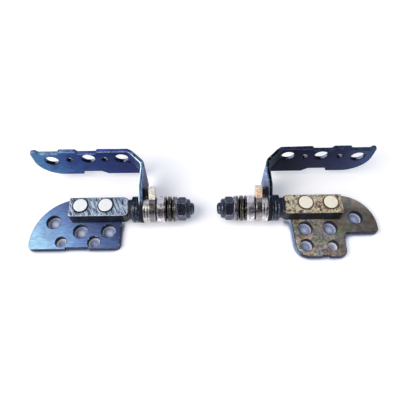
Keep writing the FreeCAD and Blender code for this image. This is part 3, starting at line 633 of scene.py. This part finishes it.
def bracket_finish(side):
    """Blued bracket: blade graded along its length, painted light on the upper edges and the arm side, painted
    shade on the rims and round the stack.
    """
    finish = Finish(f"{side} bracket blued steel", 0.5, 0.4)
    finish.shader.inputs["Specular IOR Level"].default_value = 0.15
    finish.shader.inputs["Specular Tint"].default_value = (0.5, 0.5, 0.55, 1.0)
    nodes = finish.nodes
    own = functools.partial(own_colour, side)
    node = f"{side}_display_bracket"
    patches = nodes.noise(finish.place, 0.9, 3.0)
    if side == "left":
        stretch, bare_from, bare_to = (4.0, 0.35, 0.35), 0.4, 0.54
    else:
        stretch, bare_from, bare_to = (2.0, 2.0, 2.0), 0.6, 0.73
    marks = nodes.noise(nodes.scaled(finish.place, stretch), 1.0, 3.0)

    # Blade, graded along its length
    blend = along(finish, *ends(side, node), 0.35)
    blade = nodes.ramp(blend, [
        (0.0, own("blade_outer")), (0.3, own("blade_middle")), (0.8, own("blade_inner")),
    ])
    grain = finish.grain(0.6, 2.4)
    blade = finish.shaded(blade, grain, 0.35)
    blade = nodes.mix(nodes.times(finish.clouds(0.5, 0.5, 0.7), 0.4), blade, BLADE_BLOOM)

    # Masks of the blade and of the holes in it
    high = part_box(node)[1]
    start, end = BLADE_STEP
    in_blade = nodes.between(finish.y, high.y / MM - start, high.y / MM - end)
    before_blade = nodes.less(in_blade)
    below = nodes.between(finish.z, high.z / MM - start, high.z / MM - end, 1.0, 0.0)
    in_hole = nodes.times(in_blade, below)
    outside = nodes.less(in_hole)

    # Upper edges of blade and arm, the blade's made lighter as painted light, and the walls of the holes with
    # painted light and shade
    rim_tint = own("rim")
    edge = nodes.mix(nodes.between(blend, 0.1, 0.5), own("edge"), own("edge_inner"))
    edge = finish.shaded(edge, patches, 0.5)
    bare = nodes.between(marks, bare_from, bare_to)
    arm_top = nodes.mix(bare, rim_tint, own("arm_top"))
    edge = nodes.mix(in_blade, arm_top, edge)
    tint = nodes.mix(nodes.times(finish.facing("Up"), outside), blade, edge)
    # Painted light on the walls of the holes that face left, painted shade on the others
    painted_light_side = nodes.between(finish.space["Right"], -0.55, 0.05, 1.0, 0.0)
    painted_hole_walls = nodes.mix(painted_light_side, HOLE_PAINTED_SHADE, HOLE_PAINTED_LIGHT)
    tint = nodes.mix(nodes.times(finish.facing("Up", 0.1, 0.4), in_hole), tint, painted_hole_walls)

    # Face of the arm towards the stack, coloured as painted light, with painted shade close to the stack
    looking = finish.away if OUTWARDS[side] > 0 else finish.facing
    inwards = looking("Right", 0.2, 0.45)
    arm = finish.shaded(own("arm_side"), finish.speckle(1.6), 0.4)
    arm = nodes.mix(near_axis(finish, side, 4.0, 8.5), arm, ARM_STACK_SHADE)
    tint = nodes.mix(nodes.times(inwards, before_blade), tint, arm)

    # Rims darkened as painted shade, a painted highlight along the front of the upper edges and along the arm's
    # left edge, and rubbed rims tinted as a painted highlight
    tint = nodes.mix(finish.rim(0.85), tint, rim_tint)
    front = nodes.times(
        finish.away("Back", 0.2, 0.4), finish.facing("Up", 0.2, 0.4), outside, finish.rim(0.8)
    )
    tint = nodes.mix(front, tint, finish.shaded(own("edge_line"), patches, 0.5))
    broken = nodes.between(patches, 0.2, 0.36) if side == "left" else nodes.between(marks, 0.56, 0.66)
    glint = nodes.times(
        finish.away("Right", 0.04, 0.2), before_blade, finish.rim(1.0), broken,
        nodes.between(finish.y, 8.8, 10.4, 1.0, 0.15),
    )
    for mask in (glint, finish.wear(0.6)):
        tint = nodes.mix(mask, tint, own("glint"))
    # Painted shade on the arm round the stack
    tint = nodes.mix(near_axis(finish, side, 3.4, 4.2), tint, ARM_EYE_SHADE)
    rough = nodes.between(grain, 0.2, 0.8, 0.3, 0.48)
    return finish.coat(tint, rough, grain, BRUSHED)


def rivet_shade_rings(finish, side):
    """Mask of the thin rings of painted shade on the tang round the rivet heads."""
    rings = 0.0
    for rivet in RIVETS:
        low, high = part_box(f"{side}_{rivet}")
        middle = (low + high) / 2
        ring = finish.nodes.between(finish.gap(X=middle.x, Y=middle.y), 1.9, 2.1, 1.0, 0.0)
        rings = finish.nodes.maths("MAXIMUM", rings, ring)
    return rings


def shaft_finish(side):
    """Ground tang on top, blackened everywhere else; painted sheen on the grinding marks, painted shade on the
    tang's sides, round the rivets and on rims that face back, and a painted highlight on rims that face forward.
    """
    tints = colours()
    finish = Finish(f"{side} shaft steel", 0.6, 0.38)
    nodes = finish.nodes
    if side == "left":
        turned = nodes.add(
            "ShaderNodeVectorRotate",
            {"Vector": finish.place, "Angle": GRINDING_ANGLE},
            rotation_type="Z_AXIS",
        ).outputs[0]
        strokes = nodes.noise(nodes.scaled(turned, (2.4, 0.5, 1.0)), 1.0, 3.0, 0.65, 0.8)
        relief = nodes.between(strokes, 0.34, 0.62)
        top = nodes.mix(relief, tints.tang_streak, tints.tang_silver)
        # Painted sheen on the highest grinding marks
        top = nodes.mix(nodes.between(relief, 0.7, 1.0, 0.0, 0.9), top, TANG_PAINTED_SHEEN)
    else:
        relief = finish.speckle(1.15)
        top = nodes.mix(relief, tints.tang_grain, tints.tang_gold)
        rosy = nodes.times(
            finish.clouds(0.45, 0.42, 0.6), nodes.between(finish.x, 21.5, 25.0, 0.0, 0.7)
        )
        top = nodes.mix(rosy, top, TANG_ROSE)
        top = nodes.mix(nodes.between(finish.x, 32.0, 34.0, 0.0, 0.6), top, TANG_END)
        top = nodes.mix(nodes.between(finish.speckle(2.1), 0.5, 0.9), top, TANG_FLECK)
    # Painted shade round the rivet heads
    top = nodes.mix(rivet_shade_rings(finish, side), top, RIVET_RING_SHADE[side])
    hand = OUTWARDS[side]
    root = AXIS[side].x / MM * hand + TANG_ROOT[side]
    tang = nodes.between(nodes.times(finish.x, float(hand)), root - 0.15, root + 0.15)
    mask = nodes.times(finish.facing("Up", 0.75, 0.92), tang)
    dark = finish.shaded(tints.shaft_black, nodes.noise(finish.place, 0.8, 3.0), 0.4)
    # Tang sides darkened as painted shade
    dark = nodes.mix(tang, dark, tints.tang_wall)
    tint = nodes.mix(mask, dark, top)
    # Rims that face forward: wear and a painted highlight; rims that face back: painted shade
    wear_and_highlight = nodes.times(finish.wear(0.22), finish.away("Back", 0.05, 0.25))
    tint = nodes.mix(wear_and_highlight, tint, nodes.mix(tang, SHAFT_WEAR_AND_HIGHLIGHT, TANG_WEAR_AND_HIGHLIGHT[side]))
    back_rim_shade = nodes.times(finish.rim(0.9), finish.facing("Back", 0.05, 0.25))
    tint = nodes.mix(back_rim_shade, tint, tints.tang_wall)
    rough = nodes.between(relief, 0.0, 1.0, 0.48, 0.34)
    return finish.coat(tint, rough, nodes.times(relief, mask), MOTTLED)


def rivet_finish(side):
    """Bright flat head with painted shade on its side."""
    finish = Finish(f"{side} rivet steel", 0.1, 0.4)
    nodes = finish.nodes
    face = finish.shaded(own_colour(side, "rivet"), nodes.noise(finish.place, 1.2, 2.0), 0.04)
    return finish.coat(nodes.mix(finish.facing("Up", 0.6, 0.9), RIVET_SIDE_SHADE, face))


def mottling(finish):
    """Fine mottling of turned steel."""
    return finish.nodes.noise(finish.place, 1.3, 4.0, 0.68)


def stack_finish(name, tint, surface, wear_and_highlight_tint, hold, painted_front_shade=0.0, painted_crest_share=0.0):
    """Turned steel of the stack: mottled, with bright rubbed rims that are also a painted highlight.

    The surface gives metallic, roughness and the depth of the mottling. The front shade share darkens
    the front as painted shade, and the top highlight share brightens the top as a painted highlight.
    """
    metallic, roughness, mottle = surface
    finish = Finish(name, metallic, roughness)
    nodes = finish.nodes
    patches = mottling(finish)
    shaded = finish.shaded(tint, patches, mottle)
    front = nodes.times(finish.away("Back", 0.1, 0.4), finish.facing("Up", 0.25, 0.6), painted_front_shade)
    shaded = nodes.mix(front, shaded, STACK_FRONT_SHADE)
    bright = nodes.between(patches, 0.3, 0.5, 0.0, painted_crest_share)
    painted_crest = nodes.times(finish.facing("Up", 0.88, 0.98), bright)
    for mask in (painted_crest, finish.wear(hold)):
        shaded = nodes.mix(mask, shaded, wear_and_highlight_tint)
    rough = nodes.between(patches, 0.2, 0.8, roughness - 0.08, roughness + 0.1)
    return finish.coat(shaded, rough, patches, MOTTLED)


def brass_finish(side):
    """Drive washer: speckled brass on the tab, plain turned steel round the disc, and painted shade on the part
    that reaches towards the arm.
    """
    finish = Finish(f"{side} drive brass", 0.7, 0.3)
    nodes = finish.nodes
    speckle = finish.speckle(1.5)
    tint = finish.shaded(own_colour(side, "brass"), speckle, 0.18)
    rim = (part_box(f"{side}_friction_washer_1")[1].z - AXIS[side].z) / MM
    disc = near_axis(finish, side, rim, rim + 0.25)
    # The right drive disc is made lighter as painted light
    painted_light_gain = 1.0 if side == "left" else colours().right_stack_gain
    steel = [part * painted_light_gain for part in DRIVE_STEEL]
    tint = nodes.mix(disc, tint, finish.shaded(steel, mottling(finish), 0.45))
    tint = nodes.mix(finish.wear(0.3), tint, BRASS_WORN)
    # Painted shade on the part of the washer beyond the friction washer, towards the arm
    face = ends(side, f"{side}_friction_washer_2")[1] / MM
    beside = nodes.times(nodes.maths("SUBTRACT", finish.x, face), float(OUTWARDS[side]))
    tint = nodes.mix(nodes.between(beside, 0.02, 0.15), tint, BRASS_DOG_SHADE)
    nodes.feed(finish.shader.inputs["Metallic"], nodes.between(disc, 0.0, 1.0, 0.1, 1.0))
    return finish.coat(tint, nodes.between(speckle, 0.0, 1.0, 0.2, 0.34), speckle, BRUSHED)


# Pieces


def link(piece):
    """Put a new object into the scene."""
    bpy.context.scene.collection.objects.link(piece)
    return piece


def settled_mesh(piece, name):
    """The piece's evaluated mesh as a plain one."""
    graph = bpy.context.evaluated_depsgraph_get()
    mesh = bpy.data.meshes.new_from_object(piece.evaluated_get(graph), depsgraph=graph)
    mesh.name = name
    return mesh


def is_sharp(edge):
    """True where two faces meet at a clear angle."""
    return edge.is_manifold and edge.calc_face_angle() > SHARP


def skins(shape):
    """Faces sorted into smooth skins, which sharp edges bound."""
    seen, found = set(), []
    for seed in shape.faces:
        if seed.index in seen:
            continue
        seen.add(seed.index)
        skin, waiting = [], [seed]
        while waiting:
            face = waiting.pop()
            skin.append(face)
            for edge in face.edges:
                for other in () if is_sharp(edge) else edge.link_faces:
                    if other.index not in seen:
                        seen.add(other.index)
                        waiting.append(other)
        found.append(skin)
    return found


def skin_width(skin):
    """Usual width of a skin, from its area and its border."""
    border = sum(edge.calc_length() for face in skin for edge in face.edges if is_sharp(edge))
    return 2 * sum(face.calc_area() for face in skin) / border if border else math.inf


def untangle(shape, borders):
    """Draw the inner side of the strips back to the edge where faces cross, as in a narrow web."""
    for _ in range(UNTANGLE_ROUNDS):
        shape.faces.index_update()
        shape.faces.ensure_lookup_table()
        tree = BVHTree.FromBMesh(shape)
        crossed = set()
        for first, second in tree.overlap(tree):
            one, two = set(shape.faces[first].verts), set(shape.faces[second].verts)
            if not one & two:
                crossed |= one | two
        drawn = [vertex for vertex in crossed if vertex in borders]
        for vertex in drawn:
            vertex.co += (borders[vertex] - vertex.co) * DRAW_BACK
        if not drawn:
            break


def round_edges(shape, width):
    """Cut a strip along each side of every sharp edge and draw the edge in.

    Returns all strips and those that lie along the rounded edges.
    """
    strips, borders = set(), {}
    for skin in skins(shape):
        if skin_width(skin) > LEAST_SKIN * width:
            added = bmesh.ops.inset_region(
                shape, faces=skin, thickness=width, use_boundary=True
            )["faces"]
            strips.update(added)
            inner = {vertex for face in skin for vertex in face.verts}
            for rung in (edge for face in added for edge in face.edges):
                near, far = rung.verts
                if (near in inner) != (far in inner):
                    within, without = (near, far) if near in inner else (far, near)
                    borders[within] = without.co.copy()
    shape.normal_update()
    outer = [edge for edge in shape.edges if is_sharp(edge) and edge.is_convex]
    shifts = []
    for corner in {vertex.index: vertex for edge in outer for vertex in edge.verts}.values():
        hollow = any(is_sharp(edge) and not edge.is_convex for edge in corner.link_edges)
        if hollow or any(face not in strips for face in corner.link_faces):
            continue
        ways = []
        for face in corner.link_faces:
            if all(face.normal.dot(way) < SAME_WAY for way in ways):
                ways.append(face.normal.copy())
        shifts.append((corner, sum(ways, Vector()) * (ROUND_SHIFT * width)))
    for corner, shift in shifts:
        corner.co -= shift
    untangle(shape, borders)
    shape.normal_update()
    return strips, {face for edge in outer for face in edge.link_faces if face in strips}


def corner_ways(shape, strips, outer):
    """Normal at each corner of each face.

    The skins keep their own normals and the rounded strips lead from one skin to the next.
    """
    ways = []
    smooth = math.cos(SHARP)
    for face in shape.faces:
        for vertex in (loop.vert for loop in face.loops):
            near = [other for other in vertex.link_faces if face.normal.dot(other.normal) > smooth]
            kin = [other for other in near if other not in strips]
            if not kin and face in outer:
                kin = [other for other in vertex.link_faces if other in outer]
            way = sum((other.normal * other.calc_area() for other in kin or near), Vector())
            ways.append(way.normalized() if way.length > 0 else face.normal.copy())
    return ways


def softened(node, width):
    """A copy of a CAD node with its sharp edges rounded and the rounded strips marked as rims."""
    shape = bmesh.new()
    shape.from_mesh(frame["nodes"][node].data)
    rim = shape.faces.layers.float.new(RIM)
    bmesh.ops.remove_doubles(shape, verts=shape.verts, dist=MERGE)
    bmesh.ops.dissolve_degenerate(shape, edges=shape.edges, dist=MERGE / 10)
    shape.faces.index_update()
    strips, outer = round_edges(shape, width)
    for face in shape.faces:
        face.smooth = True
        face[rim] = 1.0 if face in outer else 0.0
    ways = corner_ways(shape, strips, outer)
    name = f"{node}_softened"
    mesh = bpy.data.meshes.new(name)
    shape.to_mesh(mesh)
    shape.free()
    mesh.normals_split_custom_set(ways)
    return link(bpy.data.objects.new(name, mesh))


def dress(node, width, material):
    """Stand a softened piece in for a CAD node and give it its finish."""
    piece = softened(node, width)
    piece.data.materials.clear()
    piece.data.materials.append(material)
    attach(piece, BODY_OF[node])
    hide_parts(node)


class Dressing:
    """Shared work of the operators that finish one kind of piece on both sides."""

    def execute(self, context):
        for side in SIDES:
            material = self.steel(side)
            for piece in self.pieces:
                dress(f"{side}_{piece}", getattr(sizes(), self.rim), material)
        return {"FINISHED"}


class HINGE_OT_base_plates(Dressing, bpy.types.Operator):
    """Round the stamped edges of both base plates and give them their steel"""

    bl_idname = "hinge.base_plates"
    bl_label = "Base Plates"
    pieces, rim, steel = ("base_plate",), "plate_rim", staticmethod(plate_finish)


class HINGE_OT_display_brackets(Dressing, bpy.types.Operator):
    """Round the edges of both display brackets and blue them"""

    bl_idname = "hinge.display_brackets"
    bl_label = "Display Brackets"
    pieces, rim, steel = ("display_bracket",), "bracket_rim", staticmethod(bracket_finish)


class HINGE_OT_shafts(Dressing, bpy.types.Operator):
    """Finish both shafts with their ground tangs"""

    bl_idname = "hinge.shafts"
    bl_label = "Shafts"
    pieces, rim, steel = ("shaft",), "tang_rim", staticmethod(shaft_finish)


class HINGE_OT_rivets(Dressing, bpy.types.Operator):
    """Finish the bright rivet heads"""

    bl_idname = "hinge.rivets"
    bl_label = "Rivets"
    pieces, rim, steel = RIVETS, "rivet_rim", staticmethod(rivet_finish)


class HINGE_OT_drive_washers(Dressing, bpy.types.Operator):
    """Finish the brass drive washers"""

    bl_idname = "hinge.drive_washers"
    bl_label = "Drive Washers"
    pieces, rim, steel = ("drive_washer",), "washer_rim", staticmethod(brass_finish)


class HINGE_OT_washer_stacks(bpy.types.Operator):
    """Finish the washers and disc springs of both stacks"""

    bl_idname = "hinge.washer_stacks"
    bl_label = "Washer Stacks"

    def execute(self, context):
        tints = colours()
        # Pieces, kind, colour, surface, colour and hold of the rubbed rims (wear and painted highlight), share of
        # painted front shade and share of painted top highlight
        kinds = (
            (["friction_washer_1", "friction_washer_2"], "thin washer", tints.washer_grey,
             (0.9, 0.3, 0.8), shade(252, 250, 246), 0.1, 0.6, 1.0),
            (["lock_washer"], "lock washer", tints.lock_grey,
             (0.9, 0.26, 0.45), shade(206, 200, 210), 0.3, 0.0, 0.5),
            (["inner_washer_1", "inner_washer_2", "spacer_washer"], "dark washer", tints.shaft_black,
             (0.8, 0.3, 0.4), shade(190, 198, 206), 0.42, 0.0, 0.0),
            (["pressure_washer"], "pressure washer", tints.pressure_pink,
             (0.9, 0.32, 0.85), shade(252, 248, 248), 0.1, 0.65, 1.0),
            ([f"disc_spring_{number}" for number in range(1, 5)], "disc spring", tints.spring_steel,
             (0.9, 0.26, 0.5), shade(190, 182, 164), 0.42, 0.0, 0.0),
        )
        for side in SIDES:
            for names, kind, tint, *look in kinds:
                # The right stack is made lighter than the left as painted light
                if side == "right" and kind in PAINTED_LIGHTER_ON_THE_RIGHT:
                    tint = [min(part * tints.right_stack_gain, 1.0) for part in tint]
                material = stack_finish(f"{side} {kind} steel", tint, *look)
                for name in names:
                    dress(f"{side}_{name}", sizes().washer_rim, material)
        return {"FINISHED"}


class HINGE_OT_lock_nuts(bpy.types.Operator):
    """Finish the blackened lock nuts"""

    bl_idname = "hinge.lock_nuts"
    bl_label = "Lock Nuts"

    def execute(self, context):
        # The nuts' rubbed rims are tinted as wear and a painted highlight
        material = stack_finish("lock nut steel", colours().dark_steel, (0.8, 0.24, 0.5), NUT_WEAR_AND_HIGHLIGHT, 0.3)
        for side in SIDES:
            dress(f"{side}_lock_nut", sizes().nut_rim, material)
        return {"FINISHED"}


def thread_tree():
    """Geometry nodes that wind a ridge round the ends of both studs."""
    values = [(name, FLOAT, None) for name in ("Radius", "Length", "Pitch", "Depth")]
    starts = [("Left Start", VECTOR, None), ("Right Start", VECTOR, None)]
    nodes, given, out = new_group(
        "Hinge Stud Thread",
        values + starts + [("Material", "NodeSocketMaterial", None)],
        [("Geometry", "NodeSocketGeometry")],
        "GeometryNodeTree",
    )
    helix = nodes.add("GeometryNodeCurveSpiral", {
        "Resolution": POINTS_A_TURN,
        "Rotations": nodes.maths("DIVIDE", given["Length"], given["Pitch"]),
        "Start Radius": given["Radius"], "End Radius": given["Radius"], "Height": given["Length"],
    })
    ridge = nodes.add(
        "GeometryNodeCurvePrimitiveCircle", {"Resolution": RIDGE_SIDES, "Radius": given["Depth"]}
    )
    wound = nodes.add(
        "GeometryNodeCurveToMesh",
        {"Curve": helix.outputs[0], "Profile Curve": ridge.outputs["Curve"], "Fill Caps": True},
    )
    joined = nodes.add("GeometryNodeJoinGeometry")
    for name, turn in (("Left Start", math.pi / 2), ("Right Start", -math.pi / 2)):
        placed = nodes.add(
            "GeometryNodeTransform",
            {"Geometry": wound.outputs[0], "Translation": given[name], "Rotation": (0.0, turn, 0.0)},
        )
        nodes.tree.links.new(placed.outputs[0], joined.inputs[0])
    real = nodes.add("GeometryNodeRealizeInstances", {"Geometry": joined.outputs[0]})
    shaded = nodes.add(
        "GeometryNodeSetMaterial", {"Geometry": real.outputs[0], "Material": given["Material"]}
    )
    nodes.feed(out["Geometry"], shaded.outputs[0])
    return nodes.tree


class HINGE_OT_stud_threads(bpy.types.Operator):
    """Wind the thread round the ends of both studs"""

    bl_idname = "hinge.stud_threads"
    bl_label = "Stud Threads"

    def execute(self, context):
        piece = link(bpy.data.objects.new("stud_threads", bpy.data.meshes.new("stud_threads")))
        tree = thread_tree()
        modifier = piece.modifiers.new("Thread", "NODES")
        modifier.node_group = tree
        starts = {
            side: (ends(side, f"{side}_lock_nut")[1], AXIS[side].y, AXIS[side].z) for side in SIDES
        }
        values = {
            "Radius": THREAD_RADIUS,
            "Length": ends("left", "left_shaft")[1] - starts["left"][0] - STUD_BEVEL,
            "Pitch": sizes().thread_pitch, "Depth": sizes().thread_depth,
            "Left Start": starts["left"], "Right Start": starts["right"],
            "Material": stack_finish(
                "stud thread steel", colours().dark_steel, (0.8, 0.3, 0.4), THREAD_WORN, 0.5
            ),
        }
        for item in tree.interface.items_tree:
            if item.in_out == "INPUT":
                modifier[item.identifier] = values[item.name]
        piece.data = settled_mesh(piece, "stud_threads")
        piece.modifiers.clear()
        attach(piece, BODY_OF["left_shaft"])
        return {"FINISHED"}


# Stage


def aim(item, place, target, roll=0.0):
    """Put a camera or light at a place and point it at the target."""
    ahead = (target - place).normalized()
    level = ahead.cross(Vector((0.0, 0.0, 1.0))).normalized()
    rise = level.cross(ahead)
    across = level * math.cos(roll) - rise * math.sin(roll)
    upwards = rise * math.cos(roll) + level * math.sin(roll)
    turn = Matrix((across, upwards, -ahead)).transposed()
    item.matrix_world = Matrix.Translation(place) @ turn.to_4x4()


def make_camera(stage):
    """Camera above the front edge, at the photograph's angle."""
    data = bpy.data.cameras.new("hinge camera")
    data.lens = stage.lens
    data.clip_start = 1.0 * MM
    data.clip_end = 100.0
    camera = link(bpy.data.objects.new("hinge camera", data))
    target = Vector(stage.target)
    height = stage.elevation
    place = target + Vector((0.0, -math.cos(height), math.sin(height))) * stage.distance
    aim(camera, place, target, stage.roll)
    bpy.context.scene.camera = camera


def make_floor(stage):
    """Wide white paper that keeps the shadows, has painted shade in the plates' holes and looks white to camera
    and metal.
    """
    reach = stage.floor_reach
    mesh = bpy.data.meshes.new("paper floor")
    corners = [(x * reach, y * reach, 0.0) for x, y in ((-1, -1), (1, -1), (1, 1), (-1, 1))]
    mesh.from_pydata(corners, [], [(0, 1, 2, 3)])
    paper = Finish("white paper", 0.0, 0.9)
    nodes, shader = paper.nodes, paper.shader
    shader.inputs["Specular IOR Level"].default_value = 0.1
    # Paper in the plates' holes is darkened as painted shade, found by ambient occlusion, and gets no glow
    open_sky = nodes.add("ShaderNodeAmbientOcclusion", {"Distance": stage.shade_reach}).outputs["AO"]
    across = nodes.maths("ABSOLUTE", paper.x)
    plates = nodes.between(across, PLATES_FROM, PLATES_FULL, 0.15, 1.0)
    holes = nodes.times(
        nodes.between(open_sky, 0.5, 0.76, 1.0, 0.0), nodes.between(open_sky, 0.2, 0.45), plates
    )
    nodes.feed(shader.inputs["Base Color"], nodes.mix(holes, stage.floor_white, stage.floor_shade))
    rays = nodes.add("ShaderNodeLightPath").outputs
    seen = nodes.maths("MAXIMUM", rays["Is Camera Ray"], rays["Is Glossy Ray"])
    seen = nodes.maths("MAXIMUM", seen, rays["Is Transmission Ray"])
    seen = nodes.times(seen, nodes.less(holes))
    nodes.feed(shader.inputs["Emission Color"], PAPER_GLOW)
    away = nodes.add("ShaderNodeVectorMath", {0: paper.place}, operation="LENGTH").outputs["Value"]
    far = nodes.times(nodes.between(away, GLOW_FROM, GLOW_FULL), rays["Is Camera Ray"])
    glow = nodes.maths("MAXIMUM", nodes.times(seen, stage.floor_glow), far)
    nodes.feed(shader.inputs["Emission Strength"], glow)
    mesh.materials.append(paper.material)
    link(bpy.data.objects.new("paper floor", mesh))


def make_dome(stage):
    """Pale dome with a dark opening round the camera, which gives the metal its contrast."""
    world = bpy.data.worlds.new("pale dome")
    world.use_nodes = True
    bpy.context.scene.world = world
    nodes = Nodes(world.node_tree)
    way = nodes.add("ShaderNodeTexCoord").outputs["Generated"]
    near = nodes.add(
        "ShaderNodeVectorMath", {0: way, 1: DOME_OPENING}, operation="DOT_PRODUCT"
    ).outputs["Value"]
    mirrored = nodes.mix(nodes.between(near, 0.62, 0.82), DOME_MIRRORED, DOME_DARK)
    height = nodes.add("ShaderNodeSeparateXYZ", {0: way}).outputs["Z"]
    overhead = nodes.mix(nodes.between(height, 0.4, 0.9), DOME_LOW, DOME_HIGH)
    rays = nodes.add("ShaderNodeLightPath").outputs
    tint = nodes.mix(rays["Is Glossy Ray"], overhead, mirrored)
    seen = nodes.maths("MAXIMUM", rays["Is Camera Ray"], rays["Is Transmission Ray"])
    tint = nodes.mix(seen, tint, WHITE)
    background = world.node_tree.nodes["Background"]
    nodes.feed(background.inputs["Color"], tint)
    nodes.feed(background.inputs["Strength"], nodes.between(seen, 0.0, 1.0, stage.dome_strength, 1.0))


def make_key(stage):
    """Soft light on the left."""
    data = bpy.data.lights.new("key light", "AREA")
    data.shape = "DISK"
    data.size = stage.key_size
    data.energy = stage.key_power
    data.color = KEY_TINT
    light = link(bpy.data.objects.new("key light", data))
    aim(light, Vector(stage.key_place), Vector((0.0, 0.0, 0.0)))


class HINGE_OT_stage(bpy.types.Operator):
    """Set up the camera, the floor and the light"""

    bl_idname = "hinge.stage"
    bl_label = "Stage"

    def execute(self, context):
        stage = context.scene.hinge_stage
        context.scene.view_settings.view_transform = "Standard"
        make_camera(stage)
        make_floor(stage)
        make_dome(stage)
        make_key(stage)
        return {"FINISHED"}


# Panel and registration


OPERATORS = (
    HINGE_OT_base_plates,
    HINGE_OT_shafts,
    HINGE_OT_rivets,
    HINGE_OT_display_brackets,
    HINGE_OT_washer_stacks,
    HINGE_OT_drive_washers,
    HINGE_OT_lock_nuts,
    HINGE_OT_stud_threads,
    HINGE_OT_stage,
)


class HINGE_PT_panel(bpy.types.Panel):
    """Buttons that finish the hinges and set up the stage"""

    bl_idname = "HINGE_PT_panel"
    bl_label = "Laptop Hinge Pair"
    bl_space_type = "VIEW_3D"
    bl_region_type = "UI"
    bl_category = "Hinges"

    def draw(self, context):
        for operator in OPERATORS:
            self.layout.operator(operator.bl_idname)


CLASSES = (HingeSizes, HingeColours, HingeStage, *OPERATORS, HINGE_PT_panel)
SETTINGS = {"hinge_sizes": HingeSizes, "hinge_colours": HingeColours, "hinge_stage": HingeStage}


def register():
    """Register the classes and hang the settings on the scene."""
    for item in CLASSES:
        bpy.utils.register_class(item)
    for name, kind in SETTINGS.items():
        setattr(bpy.types.Scene, name, bpy.props.PointerProperty(type=kind))


def unregister():
    """Take everything back."""
    for name in SETTINGS:
        delattr(bpy.types.Scene, name)
    for item in reversed(CLASSES):
        bpy.utils.unregister_class(item)


def main():
    """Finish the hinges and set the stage."""
    register()
    for operator in OPERATORS:
        family, name = operator.bl_idname.split(".")
        getattr(getattr(bpy.ops, family), name)()


if __name__ == "__main__":
    main()
